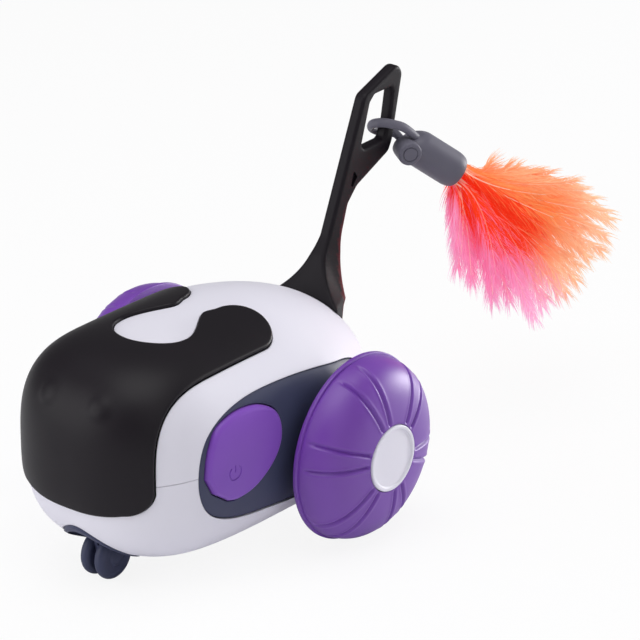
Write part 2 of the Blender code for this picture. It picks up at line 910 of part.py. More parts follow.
web_radius = wheel_radius - flange_step - dome_wall - dome_seat
seat_depth = wheel_depth - cap_depth - gap
wheel_core_left = turned(
    "wheel_core_left",
    (
        (axle_radius, -wheel_to_body / 4),
        (hub_radius, -wheel_to_body / 4),
        (hub_radius, hub_web / 2),
        (web_radius, hub_web / 2),
        (web_radius, hub_web * 1.5),
        (hub_radius + hub_web, hub_web * 1.5),
        (hub_radius, hub_web * 2.5),
        (hub_radius, seat_depth - cap_margin * 1.5),
        (cap_radius - cap_margin, seat_depth - cap_margin),
        (cap_radius - cap_margin, seat_depth),
        (axle_radius, seat_depth),
    ),
    (rim_plane, 0.0, axle_height),
    (1.0, 0.0, 0.0),
    24,
    grey_plastic,
)
wheel_cap_left = turned(
    "wheel_cap_left",
    (
        (0.0, seat_depth + gap),
        (cap_radius, seat_depth + gap),
        (cap_radius, wheel_depth - cap_dish),
        (cap_radius - cap_dish, wheel_depth),
        (cap_radius - cap_margin, wheel_depth),
        (cap_radius - cap_margin - cap_dish, wheel_depth - cap_dish),
        (0.0, wheel_depth - cap_dish * 1.5),
    ),
    (rim_plane, 0.0, axle_height),
    (1.0, 0.0, 0.0),
    28,
    white_plastic,
)


# Gear trains, each a motor pinion, a stepped idler and an output gear on the wheel's axle

pinion_step, idler_step = pi / pinion_teeth, pi / idler_pinion_teeth


def gear(name, teeth, turn, centre, low, high, material=None):
    outline = [(centre[0] + y, centre[1] + z) for y, z in gear_outline(teeth, turn)]
    return prism(name, outline, low, high, "side", material)


def along_x(name, radius, y, z, low, high, sides=16, material=None):
    return rod(name, radius, (low, y, z), (high, y, z), sides, material)


first_gear_face = first_gear_plane + gear_width
second_gear_face = second_gear_plane + gear_width

wheel_axle_left = along_x(
    "wheel_axle_left",
    axle_radius - gap,
    0.0,
    axle_height,
    gear_plane,
    rim_plane + seat_depth - gap,
    20,
    steel,
)
output_gear = gear(
    "output_gear", output_teeth, pi + train_angle, (0.0, axle_height), second_gear_plane, second_gear_face
)
combine(wheel_axle_left, output_gear, "UNION")

idler_centre = (idler_y, idler_z)
idler_gear_left = gear(
    "idler_gear_left", idler_teeth, pi + train_angle, idler_centre, first_gear_plane, first_gear_face, nylon
)
idler_pinion = gear(
    "idler_pinion",
    idler_pinion_teeth,
    train_angle + idler_step,
    idler_centre,
    first_gear_plane + gear_width / 2,
    second_gear_face,
)
combine(idler_gear_left, idler_pinion, "UNION")
idler_shaft = along_x(
    "idler_shaft", idler_shaft_radius, idler_y, idler_z, gear_plane, outer_plate_plane + gearbox_wall
)
combine(idler_gear_left, idler_shaft, "UNION")

motor_pinion_left = gear(
    "motor_pinion_left",
    pinion_teeth,
    train_angle + pinion_step,
    (motor_y, motor_z),
    first_gear_plane,
    first_gear_face,
    nylon,
)
motor_shaft = along_x(
    "motor_shaft",
    motor_shaft_radius,
    motor_y,
    motor_z,
    gear_plane - motor_shaft_depth,
    first_gear_plane + gear_width / 2,
)
combine(motor_pinion_left, motor_shaft, "UNION")


# Gearbox frames: two plates joined by a web at their foot, with the motor against the inner plate

def plate(name, back, front, low, high, material=None):
    corners = ((front, gearbox_seat), (back, gearbox_seat), (back, gearbox_top), (front, gearbox_top))
    return prism(name, rounded(corners, gearbox_corner), low, high, "side", material)


gearbox_back = gearbox_margin
gearbox_left = plate(
    "gearbox_left", gearbox_back, motor_y - motor_radius, gear_plane, gear_plane + gearbox_wall, grey_plastic
)
outer_front = idler_y - gearbox_margin
outer_plate = plate(
    "outer_plate", gearbox_back, outer_front, outer_plate_plane, outer_plate_plane + gearbox_wall
)
combine(gearbox_left, outer_plate, "UNION")
foot_web = box(
    "foot_web",
    (gear_plane + gearbox_wall / 2, outer_front + gearbox_corner * 1.5, gearbox_seat),
    (outer_plate_plane + gearbox_wall / 2, gearbox_back - gearbox_corner * 1.5, gearbox_seat + gearbox_wall),
)
combine(gearbox_left, foot_web, "UNION")
for y, z, radius in (
    (0.0, axle_height, axle_radius),
    (idler_y, idler_z, idler_shaft_radius + bore_clearance),
    (motor_y, motor_z, motor_boss_radius + bore_clearance),
):
    bearing = along_x(
        "bearing", radius, y, z, gear_plane - overrun, outer_plate_plane + overrun, bore_sides
    )
    combine(gearbox_left, bearing)

motor_face = gear_plane - gap
motor_left = along_x("motor_left", motor_radius, motor_y, motor_z, motor_face - motor_length, motor_face, 32, steel)
motor_flats = box(
    "motor_flats",
    (0.0, motor_y - motor_radius, motor_z - motor_flat),
    (motor_face + overrun, motor_y + motor_radius, motor_z + motor_flat),
)
combine(motor_left, motor_flats, "INTERSECT")
motor_boss = along_x(
    "motor_boss", motor_boss_radius, motor_y, motor_z, motor_face - motor_boss_height, motor_face + motor_boss_height
)
combine(motor_left, motor_boss, "UNION")
motor_bore = along_x(
    "motor_bore",
    motor_shaft_radius + bore_clearance,
    motor_y,
    motor_z,
    gear_plane - motor_shaft_depth - gap,
    gear_plane + overrun,
    bore_sides,
)
combine(motor_left, motor_bore)

axle_point = (rim_plane, 0.0, axle_height)
left_parts = (
    (wheel_dome_left, "wheel_dome_right", axle_point),
    (wheel_core_left, "wheel_core_right", axle_point),
    (wheel_cap_left, "wheel_cap_right", axle_point),
    (wheel_axle_left, "wheel_axle_right", axle_point),
    (idler_gear_left, "idler_gear_right", (first_gear_plane, idler_y, idler_z)),
    (motor_pinion_left, "motor_pinion_right", (first_gear_plane, motor_y, motor_z)),
    (gearbox_left, "gearbox_right", None),
    (motor_left, "motor_right", None),
)
for item, name, pivot in left_parts:
    twin = mirrored(item, name)
    if pivot:
        on_axis(item, pivot)
        on_axis(twin, (-pivot[0], pivot[1], pivot[2]))


# Caster

caster_housing = rod(
    "caster_housing",
    well_radius + well_wall,
    (0.0, -caster_station, -overrun),
    (0.0, -caster_station, well_height + well_wall),
    32,
    slate_plastic,
)
combine(caster_housing, body_form("well_skin", -well_lip), "INTERSECT")
well = rod(
    "well", well_radius, (0.0, -caster_station, -overrun), (0.0, -caster_station, well_height), 32
)
combine(caster_housing, well)
stem_bore = rod(
    "stem_bore",
    stem_radius + bore_clearance,
    (0.0, -caster_station, 0.0),
    (0.0, -caster_station, well_height + overrun),
    bore_sides,
)
combine(caster_housing, stem_bore)

turntable_top = well_height - turntable_gap
caster_fork = turned(
    "caster_fork",
    (
        (0.0, turntable_top + well_wall + stem_length),
        (stem_radius, turntable_top + well_wall + stem_length),
        (stem_radius, turntable_top),
        (turntable_radius, turntable_top),
        (turntable_radius, turntable_top - turntable_height),
        (0.0, turntable_top - turntable_height),
    ),
    (0.0, -caster_station, 0.0),
    (0.0, 0.0, 1.0),
    24,
    slate_plastic,
)
fork_top = turntable_top - turntable_height / 2
fork_corners = (
    (caster_y - fork_boss, caster_z - fork_boss),
    (caster_y + fork_boss, caster_z - fork_boss),
    (fork_shoulder - caster_station, fork_top),
    (-fork_shoulder - caster_station, fork_top),
)
fork_web = prism(
    "fork_web", rounded(fork_corners, fork_boss * 0.8, 4), -caster_web / 2, caster_web / 2, "side"
)
combine(caster_fork, fork_web, "UNION")
pin_bore = along_x(
    "pin_bore",
    caster_pin_radius + bore_clearance,
    caster_y,
    caster_z,
    -caster_web,
    caster_web,
    bore_sides,
)
combine(caster_fork, pin_bore)
on_axis(caster_fork, (0.0, -caster_station, 0.0))

lobe_start = caster_web / 2 + caster_web_gap
lobe_end = lobe_start + caster_lobe
lobe_bore = caster_pin_radius + gap
soft = caster_round * (1 - cos(pi / 4))
caster_wheel_left = turned(
    "caster_wheel_left",
    (
        (lobe_bore, lobe_start),
        (caster_radius - caster_round, lobe_start),
        (caster_radius - soft, lobe_start + soft),
        (caster_radius, lobe_start + caster_round),
        (caster_radius, lobe_end - caster_round),
        (caster_radius - soft, lobe_end - soft),
        (caster_radius - caster_round, lobe_end),
        (caster_radius / 2, lobe_end - soft),
        (lobe_bore + soft, lobe_end),
        (lobe_bore, lobe_end),
    ),
    (0.0, caster_y, caster_z),
    (1.0, 0.0, 0.0),
    24,
    slate_plastic,
)
caster_wheel_right = mirrored(caster_wheel_left, "caster_wheel_right")
caster_pin = along_x(
    "caster_pin", caster_pin_radius, caster_y, caster_z, -lobe_end, lobe_end, 12, steel
)
for item in (caster_wheel_left, caster_wheel_right, caster_pin):
    on_axis(item, (0.0, caster_y, caster_z))


# Tail

tail_origin, tail_size = (tail_seat_y, tail_seat_z), (tail_run, tail_rise)
tail_outline_shares = (
    (-0.075, -0.13),
    (0.127, 0.172),
    (0.210, 0.255),
    (0.586, 0.904),
    (0.952, 1.0),
    (1.0, 0.941),
    (0.893, 0.607),
    (0.856, 0.557),
    (0.514, 0.452),
    (0.418, 0.380),
    (0.318, 0.155),
    (0.147, -0.139),
    (0.10, -0.24),
)
tail_hole_shares = (
    (0.552, 0.632),
    (0.652, 0.856),
    (0.700, 0.888),
    (0.896, 0.888),
    (0.853, 0.721),
    (0.801, 0.632),
)
tail_pocket_shares = ((0.472, 0.478), (0.384, 0.412), (0.430, 0.525))
root_seat_shares = ((0.022, -0.021), (0.125, -0.118))


def tail_flare():
    """The tail from the front: a thin blade that opens into a wide foot."""
    steps = 7
    rows = []
    for k in range(steps + 1):
        share = k / steps
        wide = tail_half_thickness + (foot_half_width - tail_half_thickness) * (1 - share) ** foot_flare_power_share
        rows.append((wide, tail_seat_z - foot_drop + foot_flare_height * share))
    top = tail_seat_z + tail_rise + overrun
    half = [(foot_half_width, 0.0)] + rows + [(tail_half_thickness, top)]
    return half + [(-x, z) for x, z in reversed(half)]

def root_form(name, grow):
    """The part of the tail's foot that goes down through the shell."""
    front, back = (Vector(point) for point in placed(root_seat_shares, tail_origin, tail_size))
    along = back - front
    inward = Vector((along.y, -along.x)).normalized()
    corners = (
        front - inward * root_depth / 2,
        front + inward * root_depth,
        back + inward * root_depth,
        back - inward * root_depth / 2,
    )
    half = root_half_width + grow
    outline = grown([tuple(corner) for corner in corners], grow)
    return prism(name, outline, -half, half, "side")


combine(upper_shell, root_form("root_opening", gap))
tail = prism(
    "tail",
    rounded(placed(tail_outline_shares, tail_origin, tail_size), tail_corner),
    -foot_half_width,
    foot_half_width,
    "side",
    black_plastic,
)
combine(tail, prism("tail_flare", tail_flare(), -2 * tail_run, 0.0, "front"), "INTERSECT")
tail_hole = rounded(placed(tail_hole_shares, tail_origin, tail_size), tail_hole_corner)
combine(tail, prism("tail_hole", tail_hole, -foot_half_width, foot_half_width, "side"))
pocket = placed(tail_pocket_shares, tail_origin, tail_size)
for side in (1, -1):
    low, high = sorted((side * (tail_half_thickness - pocket_depth), side * foot_half_width))
    combine(tail, prism("tail_pocket", pocket, low, high, "side"))
combine(tail, body_form("tail_seat", -gap))
combine(tail, root_form("tail_root", 0.0), "UNION")


# Teaser: a strap looped round the tail's rear bar, with a barrel that holds the feathers

def strap_loop():
    """The strap's middle line, a loop with two round ends."""
    points = []
    front_centre = strap_half_width - strap_front
    for centre, first in ((front_centre, pi / 2), (strap_back, -pi / 2)):
        for k in range(9):
            angle = first + pi * k / 8
            along = centre + strap_half_width * cos(angle)
            across = strap_half_width * sin(angle)
            points.append(bar_point + strap_direction * along + sideways * across)
    return points


def tube(name, points, radius, material=None):
    """A round bar bent along a closed loop."""
    curve = bpy.data.curves.new(name, "CURVE")
    curve.dimensions = "3D"
    curve.bevel_depth = radius
    curve.bevel_resolution = 1
    spline = curve.splines.new("POLY")
    spline.points.add(len(points) - 1)
    for slot, point in zip(spline.points, points):
        slot.co = (*point, 1.0)
    spline.use_cyclic_u = True
    line = bpy.data.objects.new(name, curve)
    cutters_collection.objects.link(line)
    mesh = evaluated_mesh(line)
    bpy.data.objects.remove(line)
    return object_of(name, mesh, material)


teaser = turned(
    "teaser",
    (
        (0.0, barrel_start),
        (barrel_radius - barrel_round, barrel_start),
        (barrel_radius - barrel_round * 0.3, barrel_start + barrel_round * 0.7),
        (barrel_radius, barrel_start + barrel_round * 2),
        (barrel_radius, barrel_end - barrel_round / 2),
        (barrel_radius - barrel_round / 3, barrel_end),
        (barrel_bore, barrel_end),
        (barrel_bore, barrel_end - barrel_bore_depth),
        (0.0, barrel_end - barrel_bore_depth),
    ),
    bar_point,
    teaser_direction,
    28,
    grey_silicone,
)
combine(teaser, tube("strap", strap_loop(), strap_radius), "UNION")
tab_point = bar_point + teaser_direction * tab_along
tab = rod("tab", tab_radius, tab_point, tab_point - sideways * (barrel_radius + tab_thickness / 2), 24)
combine(teaser, tab, "UNION")
on_axis(teaser, bar_point)


# Feathers, as two plain forms of the tuft's size

tuft_shares = (
    (0.15, 0.22, 0.34),
    (0.26, 0.50, 0.66),
    (0.42, 0.82, 0.94),
    (0.58, 0.98, 1.0),
    (0.74, 1.0, 0.88),
    (0.87, 0.86, 0.64),
    (0.95, 0.60, 0.38),
)


def tuft_ring(t, wide, deep):
    first = nozzle_point - teaser_direction * feather_plug
    bend = nozzle_point + teaser_direction * feather_bend
    last = nozzle_point + feather_direction * feather_length
    centre = first * (1 - t) ** 2 + bend * 2 * t * (1 - t) + last * t**2
    tangent = ((bend - first) * (1 - t) + (last - bend) * t).normalized()
    across = (feather_spread - tangent * feather_spread.dot(tangent)).normalized()
    through = tangent.cross(across)
    return [
        centre + across * wide * cos(2 * pi * k / 20) + through * deep * sin(2 * pi * k / 20)
        for k in range(20)
    ]


def tuft(name, side, material):
    """Half of the tuft, on one side of a slit through its middle."""
    root = barrel_bore - gap
    rings = [tuft_ring(0.0, root, root), tuft_ring(feather_neck_share, root, root)]
    for t, wide, deep in tuft_shares:
        width = root + (feather_half_width - root) * wide
        depth = root + (feather_half_depth - root) * deep
        rings.append(tuft_ring(t, width, depth))
    tip = nozzle_point + feather_direction * feather_length
    item = lofted(name, rings, (nozzle_point - teaser_direction * feather_plug, tip), material)
    size = feather_length * 2
    half = box(name + "_half", (-size, -size, gap / 2), (size, size, size))
    turn = Vector((0.0, 0.0, 1.0)).rotation_difference(feather_spread * side).to_matrix().to_4x4()
    half.data.transform(Matrix.Translation(nozzle_point) @ turn)
    combine(item, half, "INTERSECT")
    return on_axis(item, bar_point)


feather_orange = tuft("feather_orange", 1, orange_feather)
feather_pink = tuft("feather_pink", -1, pink_feather)


# Inside: battery, circuit board, a switch board behind each key, and the receiver

def slab(name, x, back, length, width, low, high, corner, material):
    half = width / 2
    corners = ((x + half, back), (x + half, back - length), (x - half, back - length), (x - half, back))
    return prism(name, rounded(corners, corner), low, high, "plan", material)


battery = slab(
    "battery",
    0.0,
    -battery_back,
    battery_length,
    battery_width,
    battery_floor,
    battery_floor + battery_height,
    circuit_corner,
    battery_wrap,
)
board_top = circuit_height + board_thickness
circuit_board = slab(
    "circuit_board",
    0.0,
    -circuit_back,
    circuit_length,
    circuit_width,
    circuit_height,
    board_top,
    circuit_corner,
    circuit_green,
)
receiver_front = board_front + receiver_depth / 2
ir_receiver = box(
    "ir_receiver",
    (-receiver_width / 2, receiver_front, board_top + gap),
    (receiver_width / 2, receiver_front + receiver_depth, board_top + gap + receiver_height),
    black_plastic,
)
lens = rod(
    "lens",
    receiver_depth / 2,
    (0.0, receiver_front + receiver_depth / 2, board_top + receiver_height * 0.6),
    (0.0, receiver_front - receiver_depth / 3, board_top + receiver_height * 0.6),
    16,
)
combine(ir_receiver, lens, "UNION")

switch_face = switch_board_x + board_thickness
switch_board_left = box(
    "switch_board_left",
    (switch_board_x, key_centre_y - switch_board_width / 2, board_top + gap),
    (switch_face, key_centre_y + switch_board_width / 2, key_centre_z + switch_board_reach),
    circuit_green,
)
switch = box(
    "switch",
    (switch_board_x + board_thickness / 2, key_centre_y - switch_size / 2, key_centre_z - switch_size / 2),
    (switch_face + switch_depth, key_centre_y + switch_size / 2, key_centre_z + switch_size / 2),
)
combine(switch_board_left, switch, "UNION")
switch_button = along_x(
    "switch_button", switch_button_radius, key_centre_y, key_centre_z, switch_face, switch_top, 12
)
combine(switch_board_left, switch_button, "UNION")
switch_board_right = mirrored(switch_board_left, "switch_board_right")
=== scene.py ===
import json
import math

import bpy
import numpy as np
from mathutils import Matrix, Vector


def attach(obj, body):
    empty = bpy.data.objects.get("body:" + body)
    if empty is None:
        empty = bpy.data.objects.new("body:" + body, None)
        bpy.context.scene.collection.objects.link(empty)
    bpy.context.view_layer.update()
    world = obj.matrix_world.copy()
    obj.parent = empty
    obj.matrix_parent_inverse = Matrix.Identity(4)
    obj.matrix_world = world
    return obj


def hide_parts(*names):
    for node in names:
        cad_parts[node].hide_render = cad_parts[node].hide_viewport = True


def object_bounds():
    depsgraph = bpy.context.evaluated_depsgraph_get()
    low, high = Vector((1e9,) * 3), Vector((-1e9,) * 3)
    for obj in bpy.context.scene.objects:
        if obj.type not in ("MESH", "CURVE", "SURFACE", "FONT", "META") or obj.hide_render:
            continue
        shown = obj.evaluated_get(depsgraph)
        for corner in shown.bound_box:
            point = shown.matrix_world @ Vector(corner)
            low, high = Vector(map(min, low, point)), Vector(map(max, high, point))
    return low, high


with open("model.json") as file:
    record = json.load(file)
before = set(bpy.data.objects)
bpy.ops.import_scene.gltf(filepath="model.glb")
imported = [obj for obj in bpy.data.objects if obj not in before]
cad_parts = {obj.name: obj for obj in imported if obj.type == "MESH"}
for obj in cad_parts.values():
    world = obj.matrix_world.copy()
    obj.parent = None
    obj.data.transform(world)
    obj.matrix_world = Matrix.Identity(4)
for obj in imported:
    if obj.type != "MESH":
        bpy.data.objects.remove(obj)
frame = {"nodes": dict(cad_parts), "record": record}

mm = 0.001
cadBounds = [[float(value) for value in corner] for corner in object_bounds()]
bodyOf = {node: body for body, nodes in frame["record"]["behaviour"]["bodies"].items() for node in nodes}
slotOf = {row["node"]: row["material_slot"] for row in frame["record"]["subparts"]}
print("frame loaded:", len(frame["nodes"]), "nodes")


def addObject(name, data):
    item = bpy.data.objects.new(name, data)
    bpy.context.scene.collection.objects.link(item)
    return item


# camera: a long lens, three quarters from the front left and a little above; metres and degrees

camera = {"place": (0.96353, -1.16438, 0.76117), "azimuth": 38.5, "elevation": 24.4, "lens": 225}


def makeCamera():
    a, e = math.radians(camera["azimuth"]), math.radians(camera["elevation"])
    right = Vector((math.cos(a), math.sin(a), 0))
    up = Vector((-math.sin(a) * math.sin(e), math.cos(a) * math.sin(e), math.cos(e)))
    turn = Matrix((right, up, right.cross(up))).transposed().to_4x4()
    data = bpy.data.cameras.new("camera")
    data.lens = camera["lens"]
    data.sensor_width = 36
    data.clip_end = 20
    eye = addObject("camera", data)
    eye.matrix_world = Matrix.Translation(camera["place"]) @ turn
    bpy.context.scene.camera = eye


makeCamera()
bpy.context.scene.view_settings.view_transform = "Standard"


# nodes and materials

def linear(code):
    channels = [int(code[k:k + 2], 16) / 255 for k in (1, 3, 5)]
    return [c / 12.92 if c <= 0.04045 else ((c + 0.055) / 1.055) ** 2.4 for c in channels] + [1.0]


def addNode(tree, kind, settings=None, links=None):
    # settings name properties or input sockets, links give (from node, its socket, to this socket)
    node = tree.nodes.new(kind)
    for key, value in (settings or {}).items():
        if key in node.inputs:
            node.inputs[key].default_value = value
        else:
            setattr(node, key, value)
    for source, output, socket in links or []:
        tree.links.new(source.outputs[output], node.inputs[socket])
    return node


def newMaterial(name):
    material = bpy.data.materials.new(name)
    material.use_nodes = True
    tree = material.node_tree
    tree.nodes.clear()
    shader = addNode(tree, "ShaderNodeBsdfPrincipled")
    addNode(tree, "ShaderNodeOutputMaterial", links=[(shader, "BSDF", "Surface")])
    place = addNode(tree, "ShaderNodeTexCoord")
    return material, tree, shader, place


def layOver(tree, shader, other, socket, settings=None, links=()):
    # a second shader is mixed over the one of newMaterial
    mix = addNode(tree, "ShaderNodeMixShader", settings, [*links, (shader, "BSDF", 1), (other, socket, 2)])
    output = next(node for node in tree.nodes if node.type == "OUTPUT_MATERIAL")
    tree.links.new(mix.outputs[0], output.inputs["Surface"])


finishDefaults = {"roughSpread": 0.05, "bump": 0.1, "bumpHigh": 0.02, "ior": 1.5}
finishSockets = {"ior": "IOR", "gloss": "Specular IOR Level", "coat": "Coat Weight", "coatRoughness": "Coat Roughness",
                 "sheen": "Sheen Weight", "metallic": "Metallic", "subsurface": "Subsurface Weight",
                 "bleed": "Subsurface Radius", "bleedScale": "Subsurface Scale"}


def mouldedPlastic(name, values):
    # an even colour with the faintest drift, and the fine grain of a spark-eroded mould
    values = {**finishDefaults, **values}
    material, tree, shader, place = newMaterial(name)
    drift = addNode(tree, "ShaderNodeTexNoise", {"Scale": 1 / (values["driftSize"] * mm), "Detail": 2},
                    [(place, "Object", "Vector")])
    tint = addNode(tree, "ShaderNodeValToRGB", links=[(drift, "Fac", "Fac")])
    for element, position, key in zip(tint.color_ramp.elements, (0.3, 0.7), ("darker", "colour")):
        element.position, element.color = position, linear(values[key])
    tree.links.new(tint.outputs["Color"], shader.inputs["Base Color"])
    grain = addNode(tree, "ShaderNodeTexNoise", {"Scale": 1 / (values["grainSize"] * mm), "Detail": 3},
                    [(place, "Object", "Vector")])
    rough = addNode(tree, "ShaderNodeMapRange",
                    {"To Min": values["roughness"] - values["roughSpread"],
                     "To Max": values["roughness"] + values["roughSpread"]}, [(grain, "Fac", "Value")])
    tree.links.new(rough.outputs["Result"], shader.inputs["Roughness"])
    bump = addNode(tree, "ShaderNodeBump", {"Strength": values["bump"], "Distance": values["bumpHigh"] * mm},
                   [(grain, "Fac", "Height")])
    if "softEdge" in values:
        edge = addNode(tree, "ShaderNodeBevel", {"samples": 6, "Radius": values["softEdge"] * mm})
        tree.links.new(edge.outputs["Normal"], bump.inputs["Normal"])
    tree.links.new(bump.outputs["Normal"], shader.inputs["Normal"])
    for key, socket in finishSockets.items():
        if key in values:
            shader.inputs[socket].default_value = values[key]
    return material


finishes = {
    # white ABS with a faint violet cast, satin from the mould
    "whitePlastic": {"colour": "#E6E4EF", "darker": "#E2E0EC", "driftSize": 60, "grainSize": 0.5,
                     "roughness": 0.5, "roughSpread": 0.04, "bump": 0.05, "softEdge": 0.5},
    # black ABS and polycarbonate, satin, slightly warm
    "blackPlastic": {"colour": "#171219", "darker": "#141016", "driftSize": 50, "grainSize": 0.45,
                     "roughness": 0.46, "roughSpread": 0.04, "bump": 0.05, "ior": 1.46, "gloss": 0.25},
    # slate ABS, matt, as on the side panels and the caster
    "slatePlastic": {"colour": "#3D415D", "darker": "#393D58", "driftSize": 40, "grainSize": 0.4,
                     "roughness": 0.5, "gloss": 0.35},
    # purple silicone rubber, satin with a soft bloom
    "purpleSilicone": {"colour": "#6F35A6", "darker": "#6A32A1", "driftSize": 30, "grainSize": 0.35,
                       "roughness": 0.46, "bump": 0.08, "ior": 1.45, "gloss": 0.8, "sheen": 0.1},
    # grey silicone rubber, a little lighter than the panels
    "greySilicone": {"colour": "#63616F", "darker": "#5D5B69", "driftSize": 25, "grainSize": 0.35,
                     "roughness": 0.5, "bump": 0.08, "ior": 1.43, "sheen": 0.1},
    # grey ABS of the hubs and gear frames
    "greyPlastic": {"colour": "#6E6E75", "darker": "#67676E", "driftSize": 30, "grainSize": 0.4,
                    "roughness": 0.5},
    # natural nylon of the gears, slightly milky
    "nylon": {"colour": "#DEDACB", "darker": "#D5D1C0", "driftSize": 12, "grainSize": 0.3,
              "roughness": 0.45, "roughSpread": 0.06, "bump": 0.06, "ior": 1.53, "subsurface": 0.1,
              "bleed": (1.0, 0.8, 1.0), "bleedScale": 1.5 * mm},
    # nickel-plated steel of the motor cans, axles and pins
    "nickelSteel": {"colour": "#C6C5C2", "darker": "#BDBCB8", "driftSize": 8, "grainSize": 0.2,
                    "roughness": 0.28, "roughSpread": 0.06, "bump": 0.05, "metallic": 1.0},
    # glass epoxy under green solder mask
    "solderMask": {"colour": "#1F5B33", "darker": "#1A4F2C", "driftSize": 5, "grainSize": 0.25,
                   "roughness": 0.35, "coat": 0.3, "coatRoughness": 0.2},
    # blue shrink sleeve on the battery
    "shrinkSleeve": {"colour": "#274A8C", "darker": "#22427E", "driftSize": 10, "grainSize": 0.6,
                     "roughness": 0.32, "bump": 0.15},
}
materials = {name: mouldedPlastic(name, values) for name, values in finishes.items()}
materialForSlot = {
    "white_plastic": "whitePlastic", "black_plastic": "blackPlastic", "slate_plastic": "slatePlastic",
    "purple_silicone": "purpleSilicone", "grey_silicone": "greySilicone", "grey_plastic": "greyPlastic",
    "steel": "nickelSteel", "nylon": "nylon", "circuit_green": "solderMask", "battery_wrap": "shrinkSleeve",
}
print("materials ready:", len(materials))


# helpers for modelling

def objectMode():
    bpy.ops.object.mode_set(mode="OBJECT")


def deselectAll():
    if bpy.context.object and bpy.context.object.mode != "OBJECT":
        objectMode()
    bpy.ops.object.select_all(action="DESELECT")


def activate(piece):
    deselectAll()
    piece.select_set(True)
    bpy.context.view_layer.objects.active = piece


def editAll(piece, kind="FACE"):
    activate(piece)
    bpy.ops.object.mode_set(mode="EDIT")
    bpy.ops.mesh.select_mode(type=kind)
    bpy.ops.mesh.select_all(action="SELECT")


def applyModifiers(piece):
    activate(piece)
    for modifier in list(piece.modifiers):
        bpy.ops.object.modifier_apply(modifier=modifier.name)


def points(piece):
    flat = np.empty(len(piece.data.vertices) * 3)
    piece.data.vertices.foreach_get("co", flat)
    return flat.reshape(-1, 3)


def setPoints(piece, places):
    piece.data.vertices.foreach_set("co", np.asarray(places, float).ravel())
    piece.data.update()


def tidyNormals(piece, merge=0.01):
    editAll(piece)
    bpy.ops.mesh.remove_doubles(threshold=merge * mm)
    bpy.ops.mesh.normals_make_consistent(inside=False)
    objectMode()


def smoothBy(piece, degrees):
    activate(piece)
    bpy.ops.object.shade_smooth_by_angle(angle=math.radians(degrees))


def copyOf(piece, name):
    twin = piece.copy()
    twin.data = piece.data.copy()
    twin.name = name
    bpy.context.scene.collection.objects.link(twin)
    return twin


def selectNone(piece, kind="FACE"):
    editAll(piece, kind)
    bpy.ops.mesh.select_all(action="DESELECT")
    objectMode()


def flipNormals(piece):
    editAll(piece)
    bpy.ops.mesh.flip_normals()
    objectMode()


def mirrorCopy(piece, name):
    twin = copyOf(piece, name)
    setPoints(twin, points(twin) * (-1, 1, 1))
    flipNormals(twin)
    return twin


def cutWith(piece, cutter, operation="DIFFERENCE", crossing=False):
    # the cutter is used up; crossing: its own faces may run through each other
    change = piece.modifiers.new("cut", "BOOLEAN")
    change.operation = operation
    change.solver = "EXACT"
    change.use_self = crossing
    change.object = cutter
    applyModifiers(piece)
    bpy.data.objects.remove(cutter)


def keepLargest(piece):
    # Booleans can leave specks and faces without area: only the largest connected part stays, cleaned
    name = piece.name
    activate(piece)
    bpy.ops.mesh.separate(type="LOOSE")
    parts = sorted(bpy.context.selected_objects, key=lambda part: len(part.data.polygons))
    for part in parts[:-1]:
        bpy.data.objects.remove(part)
    parts[-1].name = name
    editAll(parts[-1])
    bpy.ops.mesh.dissolve_degenerate(threshold=0.002 * mm)
    objectMode()
    return parts[-1]


def joinPieces(name, pieces):
    deselectAll()
    for piece in pieces:
        piece.select_set(True)
    bpy.context.view_layer.objects.active = pieces[0]
    bpy.ops.object.join()
    pieces[0].name = name
    return pieces[0]


replaced = set()  # nodes that a piece made here stands for


def dress(piece, node, material=None):
    # the piece stands for a node: it takes its body, its slot and its finish
    replaced.add(node)
    piece.data.materials.clear()
    piece.data.materials.append(material or materials[materialForSlot[slotOf[node]]])
    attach(piece, bodyOf[node])
    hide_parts(node)


def dressPair(piece, twinName, node, twinNode):
    twin = mirrorCopy(piece, twinName)
    dress(piece, node)
    dress(twin, twinNode)


def ramp(x):
    return np.clip(x, 0, 1)


def smoothRamp(x):
    return ramp(x) ** 2 * (3 - 2 * ramp(x))


def unit(*way):
    return np.array(Vector(way).normalized())


def unitRows(rows):
    return rows / np.maximum(np.linalg.norm(rows, axis=-1, keepdims=True), 1e-12)


# flat shapes and the plates made from them

def curveThrough(knots, steps, closed=True):
    count = len(knots)
    result = []
    for i in range(count if closed else count - 1):
        before = Vector(knots[i - 1] if closed or i else knots[0])
        one, two = Vector(knots[i]), Vector(knots[(i + 1) % count])
        after = Vector(knots[(i + 2) % count] if closed or i + 2 < count else knots[-1])
        reach = (two - one).length
        lead, trail = (two - before).normalized() * reach, (after - one).normalized() * reach
        for k in range(steps):
            t = k / steps
            result.append(tuple(one * (2 * t**3 - 3 * t**2 + 1) + lead * (t**3 - 2 * t**2 + t)
                                + two * (3 * t**2 - 2 * t**3) + trail * (t**3 - t**2)))
    return result if closed else result + [tuple(knots[-1])]


def roundCorners(corners, radius, steps=6):
    result = []
    for k, corner in enumerate(corners):
        corner = Vector(corner)
        one = (Vector(corners[k - 1]) - corner).normalized()
        two = (Vector(corners[(k + 1) % len(corners)]) - corner).normalized()
        half = one.angle(two) / 2
        if half > math.pi / 2 * 0.98:
            result.append(tuple(corner))
            continue
        centre = corner + (one + two).normalized() * radius / math.sin(half)
        first = corner + one * radius / math.tan(half) - centre
        last = corner + two * radius / math.tan(half) - centre
        for n in range(steps + 1):
            result.append(tuple(centre + first.lerp(last, n / steps).normalized() * radius))
    return result


